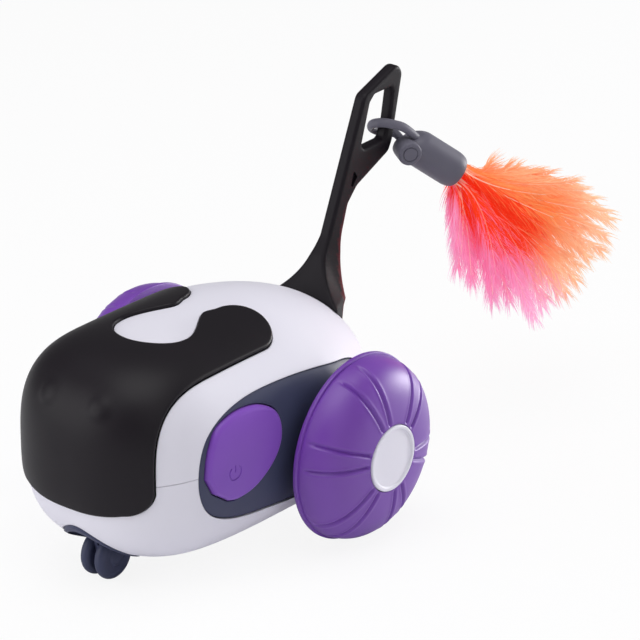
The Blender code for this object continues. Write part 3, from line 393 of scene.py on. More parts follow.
def evenly(outline, spacing):
    # the same closed line with points at an even spacing
    loop = np.array(list(outline) + [outline[0]])
    along = np.concatenate([[0], np.cumsum(np.hypot(*np.diff(loop, axis=0).T))])
    count = max(8, int(round(along[-1] / spacing)))
    at = np.linspace(0, along[-1], count, endpoint=False)
    return [tuple(p) for p in np.stack([np.interp(at, along, loop[:, k]) for k in (0, 1)], 1)]


def areaOf(outline):
    p = np.array(outline)
    q = np.roll(p, -1, axis=0)
    return float((p[:, 0] * q[:, 1] - p[:, 1] * q[:, 0]).sum() / 2)


def lineLoop(name, places):
    # a circle whose points are moved on to a closed line
    deselectAll()
    bpy.ops.mesh.primitive_circle_add(vertices=len(places), radius=1, fill_type="NOTHING")
    piece = bpy.context.object
    piece.name = name
    setPoints(piece, places)
    return piece


def flatRegion(name, outlines):
    # an outer line and its holes, filled between
    loops = []
    for outline in outlines:
        if areaOf(outline) < 0:
            outline = outline[::-1]
        loops.append(lineLoop(name, [(u, v, 0) for u, v in outline]))
    region = joinPieces(name, loops)
    editAll(region, "EDGE")
    bpy.ops.mesh.fill(use_beauty=True)
    bpy.ops.mesh.select_all(action="SELECT")
    bpy.ops.mesh.normals_make_consistent(inside=False)
    objectMode()
    if region.data.polygons[0].normal.z < 0:
        flipNormals(region)
    return region


def plate(name, outlines, edge, grid, bottom, start):
    # a flat region between two levels, its upper edge worked inward in steps of (how far in, how high)
    piece = flatRegion(name, outlines)
    editAll(piece)
    bpy.ops.transform.translate(value=(0, 0, start))
    for inward, rise in edge:
        bpy.ops.mesh.inset(thickness=inward, depth=rise, use_even_offset=True, use_boundary=True)
    span = np.array(outlines[0])
    for axis in (0, 1):
        low, high = span[:, axis].min(), span[:, axis].max()
        count = int((high - low) / grid)
        normal = (1, 0, 0) if axis == 0 else (0, 1, 0)
        for k in range(1, count + 1):
            at = low + (high - low) * k / (count + 1)
            bpy.ops.mesh.select_all(action="SELECT")
            bpy.ops.mesh.bisect(plane_co=(at, 0, 0) if axis == 0 else (0, at, 0), plane_no=normal)
    bpy.ops.mesh.select_all(action="SELECT")
    bpy.ops.mesh.extrude_region_move(TRANSFORM_OT_translate={"value": (0, 0, bottom)})
    objectMode()
    flags = np.empty(len(piece.data.vertices), bool)
    piece.data.vertices.foreach_get("select", flags)
    places = points(piece)
    places[flags, 2] = bottom
    setPoints(piece, places)
    tidyNormals(piece, 0.005)
    return piece


def roundEdge(radius, steps=5):
    # insets that follow a quarter circle
    rows = []
    for k in range(steps):
        one, two = math.pi / 2 * k / steps, math.pi / 2 * (k + 1) / steps
        rows.append((radius * (math.cos(one) - math.cos(two)), radius * (math.sin(two) - math.sin(one))))
    return rows


# the body's form, in millimetres, as the solids have it

form = {"width": 105.6, "noseWidth": 88.3, "noseStation": 90.0, "nose": 114.5, "rump": 54.2,
        "cheek": 68.1, "cheekPower": 2.55, "haunch": 6.9, "haunchPower": 1.71,
        "crown": 44.3, "belly": 49.4, "waist": 50.0, "brow": 66.9, "browPower": 2.96,
        "back": 22.6, "backPower": 1.72, "chin": 21.4, "chinPower": 2.89,
        "crownSection": 1.855, "crownGain": 1.033, "bellySection": 2.84, "droop": 0.054, "tilt": 0.017}


def swell(share, power):
    return (1 - ramp(share) ** power) ** (1 / power)


def bodySizes(y, inset):
    f = form
    ahead = np.maximum(-y, 0)
    nose, rump = f["nose"] - inset, f["rump"] - inset
    rear = (y + f["haunch"]) / (rump + f["haunch"])
    wide = (f["width"] + (f["noseWidth"] - f["width"]) * ahead / f["noseStation"]) / 2 - inset
    wide = wide * swell((-y - f["cheek"]) / (nose - f["cheek"]), f["cheekPower"]) * swell(rear, f["haunchPower"])
    rise = (f["crown"] - inset) * (1 + f["tilt"] * y / f["noseStation"])
    rise = rise * swell((-y - f["brow"]) / (nose - f["brow"]), f["browPower"])
    rise = rise * swell((y + f["back"]) / (rump + f["back"]), f["backPower"])
    drop = (f["belly"] - inset) * (1 + f["droop"] * ahead / f["noseStation"])
    drop = drop * swell((-y - f["chin"]) / (nose - f["chin"]), f["chinPower"]) * swell(rear, f["haunchPower"])
    power = f["crownSection"] + f["crownGain"] * ahead / f["noseStation"]
    return wide, rise, drop, power


def bodySection(y, z, inset):
    # half width, height and roundness of the section at y, above or below the waist as z lies
    wide, rise, drop, power = bodySizes(y, inset)
    above = z >= form["waist"]
    height = np.maximum(np.where(above, rise, drop), 0.001)
    return wide, height, np.where(above, power, form["bellySection"])


def bodyLevel(p, inset=0.0):
    # below 0 inside the body, above 0 outside
    x, y, z = p[..., 0], p[..., 1], p[..., 2]
    wide, height, power = bodySection(y, z, inset)
    level = (np.abs(x) / np.maximum(wide, 0.001)) ** power + (np.abs(z - form["waist"]) / height) ** power - 1
    return np.where((y < -form["nose"] + inset) | (y > form["rump"] - inset), 1 + np.abs(y), level)


def bodySide(y, z, inset):
    wide, height, power = bodySection(y, z, inset)
    return wide * swell(np.abs(z - form["waist"]) / height, power)


def bodyHit(start, direction, inset=0.0, reach=130.0):
    # where a line from inside the body leaves it
    low, high = np.zeros(len(start)), np.full(len(start), reach)
    for _ in range(44):
        middle = (low + high) / 2
        inside = bodyLevel(start + direction * middle[:, None], inset) < 0
        low, high = np.where(inside, middle, low), np.where(inside, high, middle)
    return start + direction * low[:, None]


def bodyNormal(p, step=0.05):
    slope = np.stack([bodyLevel(p + axis) - bodyLevel(p - axis) for axis in np.eye(3) * step], -1)
    return unitRows(slope)


def bodySkin(name, inset, around=176, along=150):
    # a globe with its poles at nose and rump, each ring set to the body's section there
    deselectAll()
    bpy.ops.mesh.primitive_uv_sphere_add(segments=around, ring_count=along, radius=1)
    skin = bpy.context.object
    skin.name = name
    globe = points(skin)
    polar = np.arccos(np.clip(globe[:, 2], -1, 1))
    turn = np.arctan2(globe[:, 1], globe[:, 0])
    front, rear = -(form["nose"] - inset), form["rump"] - inset
    y = (front + rear) / 2 - (rear - front) / 2 * np.cos(polar)
    wide, rise, drop, power = bodySizes(y, inset)
    c, s = np.cos(turn), np.sin(turn)
    power = np.where(s >= 0, power, form["bellySection"])
    height = np.where(s >= 0, rise, drop)
    x = wide * np.sign(c) * np.abs(c) ** (2 / power)
    z = form["waist"] + height * np.sign(s) * np.abs(s) ** (2 / power)
    setPoints(skin, np.stack([x, y, z], 1) * mm)
    tidyNormals(skin)
    return skin


# prisms that cut the openings

def prism(name, outline, low, high, plane):
    # plan is X by Y, side is Y by Z, front is X by Z with its depth along -Y; all in millimetres
    piece = flatRegion(name, [outline])
    editAll(piece)
    bpy.ops.mesh.extrude_region_move(TRANSFORM_OT_translate={"value": (0, 0, high - low)})
    bpy.ops.mesh.select_all(action="SELECT")
    bpy.ops.mesh.normals_make_consistent(inside=False)
    objectMode()
    u, v, h = (points(piece) + (0, 0, low)).T
    places = {"plan": (u, v, h), "side": (h, u, v), "front": (u, -h, v)}[plane]
    setPoints(piece, np.stack(places, 1) * mm)
    return piece


def grown(outline, distance):
    side = 1 if areaOf(outline) > 0 else -1
    result = []
    for k, point in enumerate(outline):
        before, here, after = Vector(outline[k - 1]), Vector(point), Vector(outline[(k + 1) % len(outline)])
        one, two = (here - before).normalized(), (after - here).normalized()
        middle = (one + two).normalized()
        out = Vector((middle.y, -middle.x)) * side * distance / max(middle.dot(one), 0.5)
        result.append(tuple(here + out))
    return result


visorShape = {"halfWidth": 34.5, "bottom": 36.3, "corner": 10.0, "knobRadius": 12.8, "knobX": 21.5,
              "knobY": -32.2, "neckHalf": 7.2, "neckY": -38.5, "tongueHalf": 16.6, "tongueY": -61.0,
              "tip": -76.2, "thick": 3.2, "proud": 1.6, "edge": 1.0, "gap": 0.45, "grid": 1.4,
              "bumpX": 12.8, "bumpV": -31.0, "bumpSize": 4.4, "bumpHigh": 0.9}


def visorPlan():
    v = visorShape
    half = [(v["halfWidth"], -form["nose"] - 4)]
    half += [(v["knobX"] + v["knobRadius"] * math.cos(math.pi * k / 24),
              v["knobY"] + v["knobRadius"] * math.sin(math.pi * k / 24)) for k in range(25)]
    reach = v["tongueY"] - v["tip"]
    bulb = [(v["tongueHalf"] * math.cos(math.pi / 8 * k), v["tongueY"] - reach * math.sin(math.pi / 8 * k))
            for k in range(6)]
    reach = v["tongueY"] - v["neckY"]
    spread = v["tongueHalf"] - v["neckHalf"]
    waist = [(v["neckHalf"] + spread * a, v["neckY"] + reach * b)
             for a, b in ((0.25, 0.22), (0.62, 0.48), (0.93, 0.77))]
    inner = curveThrough([half[-1], (v["neckHalf"], v["neckY"])] + waist + bulb, 6, closed=False)
    half += inner[1:-6]
    half[-1] = (0.0, v["tip"])
    return half + [(-x, y) for x, y in reversed(half[:-1])]


def visorFront():
    v = visorShape
    inner, low = v["halfWidth"] - v["corner"], v["bottom"] + v["corner"]
    half = [(v["halfWidth"], 104.0)]
    half += [(inner + v["corner"] * math.cos(a), low - v["corner"] * math.sin(a))
             for a in [math.pi / 2 * k / 12 for k in range(13)]]
    return half + [(-x, z) for x, z in reversed(half)]


panelShape = {"front": -84.6, "back": 24.0, "topFront": 73.5, "topBack": 66.8, "bottomFront": 20.8,
              "bottomBack": 17.0, "recess": 0.6, "thick": 2.0, "gap": 0.3, "edge": 0.5, "grid": 1.6}


def panelOutline(steps=8):
    p = panelShape
    middle, tall = (p["topFront"] + p["bottomFront"]) / 2, p["topFront"] - p["bottomFront"]
    knots = [(p["front"], middle), (p["front"] + tall * 0.09, middle + tall * 0.33),
             (p["front"] + tall * 0.40, p["topFront"] - tall * 0.02), (p["front"] + tall * 0.95, p["topFront"]),
             (0.0, p["topBack"] + tall * 0.045), (p["back"] * 0.75, p["topBack"] - tall * 0.08),
             (p["back"], middle), (p["back"] * 0.75, p["bottomBack"] + tall * 0.08), (0.0, p["bottomBack"]),
             (p["front"] + tall * 0.70, p["bottomFront"] - tall * 0.01),
             (p["front"] + tall * 0.32, p["bottomFront"] + tall * 0.07),
             (p["front"] + tall * 0.08, p["bottomFront"] + tall * 0.23)]
    return curveThrough(knots, steps)


keyShape = {"y": -60.1, "z": 51.3, "halfLong": 21.0, "halfHigh": 18.6, "proud": 1.6, "edge": 1.9,
            "crown": 0.8, "thick": 3.2, "gap": 0.4, "grid": 1.2, "markY": -67.5, "markZ": 46.3,
            "markRadius": 3.1, "markLine": 0.42, "markGap": 38}
# the keys' lighter colour is painted light, for the rim lamp's light that the wheel keeps off them
keyFinish = {"colour": "#8048BC", "darker": "#7A45B6", "gloss": 0.5}
keyKnots = [(-1.0, -0.23), (-0.97, 0.14), (-0.89, 0.48), (-0.68, 0.83), (-0.23, 0.99), (0.16, 1.0),
            (0.55, 0.92), (0.90, 0.68), (1.0, 0.33), (0.95, -0.10), (0.71, -0.52), (0.27, -0.90),
            (-0.16, -1.02), (-0.42, -0.96)]
keyNotch = [(-0.59, -0.82), (-0.82, -0.64)]


def keyOutline(steps=6):
    k = keyShape
    knots, notch = ([(k["y"] + k["halfLong"] * u, k["z"] + k["halfHigh"] * v) for u, v in rows]
                    for rows in (keyKnots, keyNotch))
    return curveThrough(knots, steps, closed=False) + notch


wellShape = {"y": -94.5, "radius": 14.1, "wall": 1.3, "height": 27.0, "lip": 0.5, "gap": 0.3}


def settle(name):
    # the new piece keeps its place and size in its points
    piece = bpy.context.object
    piece.name = name
    bpy.ops.object.transform_apply(location=True, rotation=True, scale=True)
    return piece


def drum(name, radius, low, high, y, sides=96):
    # an upright cylinder in the middle plane, in millimetres
    deselectAll()
    bpy.ops.mesh.primitive_cylinder_add(vertices=sides, radius=radius * mm, depth=(high - low) * mm,
                                        location=(0, y * mm, (low + high) / 2 * mm))
    return settle(name)


def block(name, low, high):
    deselectAll()
    low, high = np.array(low, float), np.array(high, float)
    bpy.ops.mesh.primitive_cube_add(size=1, location=tuple((low + high) / 2 * mm), scale=tuple((high - low) * mm))
    return settle(name)


def tubeAlong(name, path, radius):
    # a round bar bent along a line, in millimetres
    curve = bpy.data.curves.new(name, "CURVE")
    curve.dimensions = "3D"
    curve.bevel_depth = radius * mm
    curve.bevel_resolution = 5
    curve.use_fill_caps = True
    spline = curve.splines.new("POLY")
    spline.points.add(len(path) - 1)
    for k, point in enumerate(path):
        spline.points[k].co = (*(np.array(point) * mm), 1)
    activate(addObject(name, curve))
    bpy.ops.object.convert(target="MESH")
    return bpy.context.object


# white shells: the body's skin and its inner skin, cut by the openings

shellShape = {"wall": 2.4, "parting": 48.7, "partingGap": 0.2}


def makeShells():
    outer = bodySkin("outerSkin", 0.0)
    inner = bodySkin("innerSkin", shellShape["wall"], 88, 76)
    cutWith(outer, inner)
    plan = prism("visorPlan", grown(visorPlan(), visorShape["gap"]), 0, 110, "plan")
    front = prism("visorFront", grown(visorFront(), visorShape["gap"]), -60, 125, "front")
    cutWith(plan, front, "INTERSECT")
    cutWith(outer, plan)
    for low, high in ((0, 70), (-70, 0)):
        cutWith(outer, prism("panelOpening", grown(panelOutline(), panelShape["gap"]), low, high, "side"))
    well = drum("wellOpening", wellShape["radius"] + wellShape["wall"] + wellShape["gap"], -10,
                wellShape["height"] + wellShape["wall"] + wellShape["gap"], wellShape["y"])
    cutWith(outer, well)
    lower = copyOf(outer, "whiteLowerShell")
    parting = shellShape["parting"]
    cutWith(lower, block("aboveParting", (-90, -150, parting), (90, 90, 200)))
    cutWith(outer, block("belowParting", (-90, -150, -50), (90, 90, parting + shellShape["partingGap"])))
    outer.name = "whiteUpperShell"
    return keepLargest(outer), keepLargest(lower)


upperShell, lowerShell = makeShells()
for shell, node in ((upperShell, "upper_shell"), (lowerShell, "lower_shell")):
    smoothBy(shell, 25)
    dress(shell, node)
print("shells:", len(upperShell.data.polygons), len(lowerShell.data.polygons), "faces")


# visor: a flat pattern with a rounded edge, wrapped over crown and brow

wrapShape = {"y": -80.0, "z": 50.0, "radius": 40.0}


def wrapVisor(u, v, h):
    # above v = 0 the pattern lies on the crown, below it turns round the brow to the front
    w = wrapShape
    turn = np.clip(-v / w["radius"], 0, None)
    start = np.stack([u, w["y"] + np.maximum(v, 0), np.full(len(u), w["z"])], 1)
    direction = np.stack([np.zeros(len(u)), -np.sin(turn), np.cos(turn)], 1)
    skin = bodyHit(start, direction)
    # two soft bumps on the brow, like eyes
    s = visorShape
    away = np.hypot(np.abs(u) - s["bumpX"], v - s["bumpV"]) / s["bumpSize"]
    lift = h + s["bumpHigh"] * np.exp(-away**4) * (h > -s["thick"] / 2)
    return skin + bodyNormal(skin) * lift[:, None]


def visorPattern():
    # the plan as far as the pattern's bend, and the front's line in the turn below it
    w = wrapShape
    pattern = [(x, y - w["y"]) for x, y in visorPlan() if y > w["y"]]
    low = []
    for x, z in visorFront():
        if z >= 60:
            continue
        y = float(bodyHit(np.array([[x, w["y"], z]]), np.array([[0.0, -1.0, 0.0]]))[0][1])
        low.append((x, -w["radius"] * (math.pi / 2 + math.atan2(w["z"] - z, w["y"] - y))))
    return pattern, low


pattern, low = visorPattern()
visorLoop = evenly(pattern + low[::-1], 0.8)
visorPiece = plate("blackVisor", [visorLoop], roundEdge(visorShape["edge"]), visorShape["grid"],
                   bottom=-visorShape["thick"], start=visorShape["proud"] - visorShape["edge"])
setPoints(visorPiece, wrapVisor(*points(visorPiece).T) * mm)
smoothBy(visorPiece, 40)
dress(visorPiece, "visor")
print("visor:", len(visorPiece.data.polygons), "faces")


# side panels and keys: flat patterns laid over the body's side

def keyCrown(y, z):
    # how far the key's face rises toward its middle
    k = keyShape
    far = ((y - k["y"]) / k["halfLong"]) ** 2 + ((z - k["z"]) / k["halfHigh"]) ** 2
    return k["crown"] * ramp(1 - far)


def layOnSide(piece, crowned=False):
    y, z, h = points(piece).T
    x = bodySide(y, z, panelShape["recess"]) + h
    if crowned:
        x = x + keyCrown(y, z) * (h > 0)
    setPoints(piece, np.stack([x, y, z], 1) * mm)
    tidyNormals(piece)


p = panelShape
panelPiece = plate("slatePanelLeft",
                   [evenly(panelOutline(), 1.0), evenly(grown(keyOutline(), keyShape["gap"]), 0.9)],
                   roundEdge(p["edge"], 3), p["grid"], bottom=-p["thick"], start=-p["edge"])
layOnSide(panelPiece)
smoothBy(panelPiece, 40)
dressPair(panelPiece, "slatePanelRight", "side_panel_left", "side_panel_right")
print("panels:", len(panelPiece.data.polygons), "faces")

k = keyShape
keyPiece = plate("purpleKeyLeft", [keyOutline()], roundEdge(k["edge"], 6), k["grid"],
                 bottom=-k["thick"], start=k["proud"] - k["edge"])
layOnSide(keyPiece, crowned=True)
smoothBy(keyPiece, 45)
keyTwin = mirrorCopy(keyPiece, "purpleKeyRight")  # before the mark is pressed in


def markLine(name, rows):
    # a line laid on the key's face, pressed in by Boolean
    y, z = (np.array(rows) + (keyShape["markY"], keyShape["markZ"])).T
    x = bodySide(y, z, panelShape["recess"]) + keyShape["proud"] + keyCrown(y, z)
    cutWith(keyPiece, tubeAlong(name, np.stack([x, y, z], 1), keyShape["markLine"]))


r, gap = keyShape["markRadius"], keyShape["markGap"]
markLine("powerRing", [(r * math.sin(a), r * math.cos(a)) for a in np.radians(np.linspace(gap, 360 - gap, 40))])
markLine("powerBar", [(0.0, 0.2 + r * 0.25 * k) for k in range(5)])
smoothBy(keyPiece, 45)
# the keys are of the domes' silicone in a lighter copy; the lightening is painted light, for the rim lamp's light that
# the wheel keeps off the keys
keySilicone = mouldedPlastic("purpleKeySilicone", {**finishes["purpleSilicone"], **keyFinish})
dress(keyPiece, "power_button", keySilicone)
dress(keyTwin, "side_key_right", keySilicone)
print("keys:", len(keyPiece.data.polygons), "faces")


# wheels: a spun dome with pressed grooves, and a white cap

wheelShape = {"rim": 54.9, "axleZ": 35.0, "radius": 40.0, "depth": 21.0, "flange": 2.0, "step": 0.9,
              "wall": 2.8, "power": 2.7, "seat": 14.8, "steps": 540, "grooveDepth": 1.05,
              "grooveWidth": 0.7, "lip": 0.16, "grooveEnd": 3.5, "grooveFade": 5.5, "pairs": 6, "pairHalf": 8.5,
              "firstAngle": 45.0, "grooveFrom": 15.2, "skinSharp": 30, "capRadius": 14.2, "capDepth": 3.0,
              "capRim": 1.5}


def spinProfile(name, profile, place, steps):
    # a line of (radius, along X) turned round the X axis through place, in millimetres
    piece = lineLoop(name, [(along, 0, radius) for radius, along in profile])
    editAll(piece, "VERT")
    bpy.ops.mesh.spin(steps=steps, angle=2 * math.pi, center=(0, 0, 0), axis=(1, 0, 0))
    objectMode()
    setPoints(piece, (points(piece) + place) * mm)
    tidyNormals(piece, 0.02)
    return piece


def domeLine(inset, count, first=0.0):
    w = wheelShape
    wide, deep = w["radius"] - w["step"] - inset, w["depth"] - inset
    last = math.acos((w["seat"] / wide) ** (w["power"] / 2))
    rows = []
    for k in range(count):
        angle = first + (last - first) * k / (count - 1)
        rows.append((wide * math.cos(angle) ** (2 / w["power"]), deep * math.sin(angle) ** (2 / w["power"])))
    return rows


def makeDome():
    w = wheelShape
    line = [(w["radius"] - 0.5, 0.0), (w["radius"] - 0.12, 0.2), (w["radius"], 0.6), (w["radius"], w["flange"] - 0.5),
            (w["radius"] - 0.12, w["flange"] - 0.15), (w["radius"] - 0.45, w["flange"])]
    dome = [row for row in domeLine(0.0, 60, 0.02) if row[1] > w["flange"] + 0.5]
    line += [(dome[0][0] - 0.12, w["flange"] + 0.1)] + dome
    seatRadius, seatDepth = dome[-1]
    line += [(seatRadius - 0.25, seatDepth - 0.1), (seatRadius - 0.3, seatDepth - 0.5)]
    line += [(seatRadius - 0.3, w["depth"] - w["wall"])] + domeLine(w["wall"], 16)[::-1][1:]
    piece = spinProfile("purpleDomeLeft", line, (w["rim"], 0, w["axleZ"]), w["steps"])
    p = points(piece) / mm
    radius = np.hypot(p[:, 1], p[:, 2] - w["axleZ"])
    depth = p[:, 0] - w["rim"]
    turn = np.degrees(np.arctan2(p[:, 2] - w["axleZ"], p[:, 1]))
    # only the outer skin takes the grooves
    wide = w["radius"] - w["step"]
    off = np.abs((radius / wide) ** w["power"] + (depth / w["depth"]) ** w["power"] - 1)
    outer = ramp(1 - off * w["skinSharp"])
    fade = smoothRamp(ramp((depth - w["grooveEnd"]) / w["grooveFade"]) * ramp(radius - w["grooveFrom"]))
    press = np.zeros(len(p))
    for pair in range(w["pairs"]):
        for side in (-1, 1):
            centre = w["firstAngle"] + pair * 360 / w["pairs"] + side * w["pairHalf"]
            away = np.radians((turn - centre + 180) % 360 - 180) * radius
            # a narrow groove with a low lip on each side
            press += np.exp(-(away / w["grooveWidth"]) ** 2)
            press -= w["lip"] * np.exp(-((np.abs(away) - w["grooveWidth"] * 2.2) / w["grooveWidth"]) ** 2)
    slope = np.stack([depth / w["depth"] ** 2, p[:, 1] / wide**2, (p[:, 2] - w["axleZ"]) / wide**2], 1)
    p -= unitRows(slope) * (press * fade * outer * w["grooveDepth"])[:, None]
    setPoints(piece, p * mm)
    smoothBy(piece, 35)
    return piece


def makeCap():
    w = wheelShape
    top, low = w["depth"], w["depth"] - w["capDepth"]
    r = w["capRadius"]
    line = [(0.0, low), (r, low), (r, top - 0.5), (r - 0.12, top - 0.18), (r - 0.45, top),
            (r - w["capRim"], top - 0.04), (r - w["capRim"] - 0.2, top - 0.4), (r - w["capRim"] - 0.5, top - 0.62),
            (r - w["capRim"] - 0.9, top - 0.66), (r * 0.5, top - 0.5), (0.0, top - 0.4)]
    piece = spinProfile("whiteCapLeft", line, (w["rim"], 0, w["axleZ"]), 128)
    smoothBy(piece, 30)
    return piece


dome = makeDome()
dressPair(dome, "purpleDomeRight", "wheel_dome_left", "wheel_dome_right")
dressPair(makeCap(), "whiteCapRight", "wheel_cap_left", "wheel_cap_right")
print("wheels:", len(dome.data.polygons), "faces")


# tail: a blade with an eyelet, its thickness growing into the foot

# the last four numbers and the colour lay a painted reflection of dark red along the rear edges of the foot
tailShape = {"y": 36.4, "z": 75.0, "run": 63.8, "rise": 86.5, "half": 2.8, "corner": 4.5, "holeCorner": 2.2,
             "footHalf": 16.5, "footDrop": 3.0, "flare": 25.5, "flarePower": 1.9, "edge": 1.5, "grid": 2.0,
             "pocket": 1.2, "seatGap": 0.3, "flareSpan": (-5.0, 11.0), "frontFlare": 1.22,
             "rearFlare": 0.76, "reflectionTop": 112.0, "reflectionFade": 15.0, "reflectionWide": 2.6, "reflectionSoft": 1.2,
             "reflectionColour": "#6A0F1C"}
tailFinish = {"roughness": 0.5, "gloss": 0.2}
tailOutline = [(-0.075, -0.13), (0.127, 0.172), (0.210, 0.255), (0.586, 0.904), (0.952, 1.0), (1.0, 0.941),
               (0.893, 0.607), (0.856, 0.557), (0.514, 0.452), (0.418, 0.380), (0.318, 0.155),
               (0.147, -0.139), (0.10, -0.24)]
tailHole = [(0.552, 0.632), (0.652, 0.856), (0.700, 0.888), (0.896, 0.888), (0.853, 0.721), (0.801, 0.632)]
tailPocket = [(0.508, 0.502), (0.426, 0.435), (0.470, 0.550)]


def onTail(rows):
    t = tailShape
    return [(t["y"] + t["run"] * u, t["z"] + t["rise"] * v) for u, v in rows]


def tailHalf(z, flare):
    # half the thickness: an even blade that grows into the foot
    t = tailShape
    foot = ramp(1 - (z - (t["z"] - t["footDrop"])) / t["flare"])
    return t["half"] + (t["footHalf"] * flare - t["half"]) * foot ** t["flarePower"]


def makeTail():
    t = tailShape
    outline = evenly(roundCorners(onTail(tailOutline), t["corner"], 8), 0.8)
    hole = evenly(roundCorners(onTail(tailHole), t["holeCorner"], 6), 0.6)
    half = plate("blackTail", [outline, hole], roundEdge(t["edge"], 4), t["grid"], bottom=0.0,
                 start=t["half"] - t["edge"])
    y, z, h = points(half).T
    flare = np.interp(y, [t["y"] + at for at in t["flareSpan"]], [t["frontFlare"], t["rearFlare"]])
    wide, core = tailHalf(z, flare), t["half"] - t["edge"]
    x = np.where(h > core - 0.01, wide - (t["half"] - h), h / core * (wide - t["edge"]))
    setPoints(half, np.stack([x, y, z], 1) * mm)
    # the faces in the middle plane go before the mirrored half is joined
    selectNone(half)
    for face in half.data.polygons:
        face.select = all(abs(half.data.vertices[v].co.x) < 0.002 * mm for v in face.vertices)
    bpy.ops.object.mode_set(mode="EDIT")
    bpy.ops.mesh.delete(type="FACE")
    objectMode()
    tail = joinPieces("blackTail", [half, mirrorCopy(half, "tailOther")])
    tidyNormals(tail, 0.02)
    cutWith(tail, bodySkin("tailSeat", -t["seatGap"], 96, 90))
    floor = t["half"] - t["pocket"]
    for low, high in ((floor, 30.0), (-30.0, -floor)):
        cutWith(tail, prism("tailPocket", roundCorners(onTail(tailPocket), 0.8, 4), low, high, "side"))
    tail = keepLargest(tail)
    smoothBy(tail, 32)
    # a painted reflection: a soft dark red tint along both rear edges of the foot, standing in for the feathers' red
    # mirrored in the glossy black
    x, y, z = (points(tail) / mm).T
    rear = onTail([tailOutline[k] for k in (11, 10, 9, 8)])
    edge = np.interp(z, [row[1] for row in rear], [row[0] for row in rear])
    share = ramp((y - edge + t["reflectionWide"]) / t["reflectionSoft"]) * ramp((t["reflectionTop"] - z) / t["reflectionFade"])
    share = share * ramp(np.abs(x) - tailHalf(z, t["rearFlare"]) + t["reflectionWide"])
    paintedReflection = tail.data.color_attributes.new("paintedReflection", "FLOAT_COLOR", "POINT")
    paintedReflection.data.foreach_set("color", np.stack([share, share, share, np.ones(len(share))], 1).ravel())
    return tail


def paintedReflectionPlastic(name, values, layer, colour):
    # moulded plastic with a painted reflection in a second colour where a colour attribute says so
    material = mouldedPlastic(name, values)
    tree = material.node_tree
    shader = next(node for node in tree.nodes if node.type == "BSDF_PRINCIPLED")
    plain = shader.inputs["Base Color"].links[0].from_node
    share = addNode(tree, "ShaderNodeVertexColor", {"layer_name": layer})
    paint = addNode(tree, "ShaderNodeMixRGB", {"Color2": linear(colour)},
                    [(share, "Color", "Fac"), (plain, "Color", "Color1")])
    tree.links.new(paint.outputs["Color"], shader.inputs["Base Color"])
    return material


# the tail's black plastic takes the painted reflection along its rear edges
tailPiece = makeTail()
dress(tailPiece, "tail", paintedReflectionPlastic("blackTailPlastic", {**finishes["blackPlastic"], **tailFinish}, "paintedReflection",
                                       tailShape["reflectionColour"]))
print("tail:", len(tailPiece.data.polygons), "faces")


# caster: a proud ring round the well, and two fat lobes

casterShape = {"wheelY": -92.5, "wheelZ": 5.0, "radius": 10.0, "start": 1.2, "wide": 5.0, "round": 2.45,
               "bore": 1.5, "hubGap": 0.08, "hubWall": 0.3}


def turnPiece(name, profile, origin, direction, steps):
    # a line of (radius, along) from the axis and back to it, turned round an axis through origin; millimetres
    piece = lineLoop(name, [(radius, 0, along) for radius, along in profile])
    selectNone(piece, "VERT")
    ends = {0, len(profile) - 1}
    for line in piece.data.edges:
        line.select = set(line.vertices) == ends
    bpy.ops.object.mode_set(mode="EDIT")
    bpy.ops.mesh.select_mode(type="EDGE")
    bpy.ops.mesh.delete(type="EDGE")
    bpy.ops.mesh.select_all(action="SELECT")
    bpy.ops.mesh.spin(steps=steps, angle=2 * math.pi, center=(0, 0, 0), axis=(0, 0, 1))
    objectMode()
    turn = Vector((0, 0, 1)).rotation_difference(Vector(direction)).to_matrix()
    places = points(piece) @ np.array(turn.transposed())
    setPoints(piece, (places + np.array(origin)) * mm)
    tidyNormals(piece, 0.005)
    return piece


def makeHousing():
    w = wellShape
    ring = drum("slateWell", w["radius"] + w["wall"], -6, w["height"] + w["wall"], w["y"], 128)
    cutWith(ring, bodySkin("wellSkin", -w["lip"], 120, 100), "INTERSECT")
    cutWith(ring, drum("well", w["radius"], -10, w["height"], w["y"], 128))
    smoothBy(ring, 30)
    return ring


def makeLobe():
    c = casterShape
    r, a, b, e = c["radius"], c["start"], c["start"] + c["wide"], c["round"]
    arc = [(math.cos(math.pi / 2 * k / 8), math.sin(math.pi / 2 * k / 8)) for k in range(9)]
    hub = b + c["hubGap"]
    line = [(0.0, hub), (c["bore"], hub), (c["bore"], a), (r - e, a)]
    line += [(r - e + e * v, a + e - e * u) for u, v in arc[1:]]
    line += [(r - e + e * u, b - e + e * v) for u, v in arc]
    line += [(r * 0.62, b - 0.05), (r * 0.52, b - 0.3), (r * 0.42, b - 0.35), (r * 0.36, b - 0.1),
             (r * 0.3, hub + c["hubWall"] * 0.8), (0.0, hub + c["hubWall"])]
    lobe = turnPiece("slateLobeLeft", line, (0, c["wheelY"], c["wheelZ"]), (1, 0, 0), 96)
    smoothBy(lobe, 40)
    return lobe


dress(makeHousing(), "caster_housing")
dressPair(makeLobe(), "slateLobeRight", "caster_wheel_left", "caster_wheel_right")
print("caster ready")


# teaser: a silicone strap looped round the bar, a barrel with a snap, and feathers

teaserShape = {"bar": (0.0, 91.8, 133.0), "start": 7.4, "end": 40.0, "radius": 8.0, "round": 3.2, "bore": 6.2,
               "boreDeep": 4.5, "strap": 2.05, "strapThin": 0.7, "strapTilt": 36.0, "front": 6.6, "half": 6.1,
               "tab": 5.2, "tabThick": 2.4, "tabAlong": 12.6, "tabDrop": 2.8, "ring": 3.1, "endLong": 5.0,
               "endIn": 1.6, "slant": 0.48}
barPoint = np.array(teaserShape["bar"])
teaserWay = unit(0.53, 0.72, -0.666)
strapWay = unit(0.53, 0.72, -0.30)
teaserSide = unit(*Vector((0, 0, 1)).cross(Vector(teaserWay)))


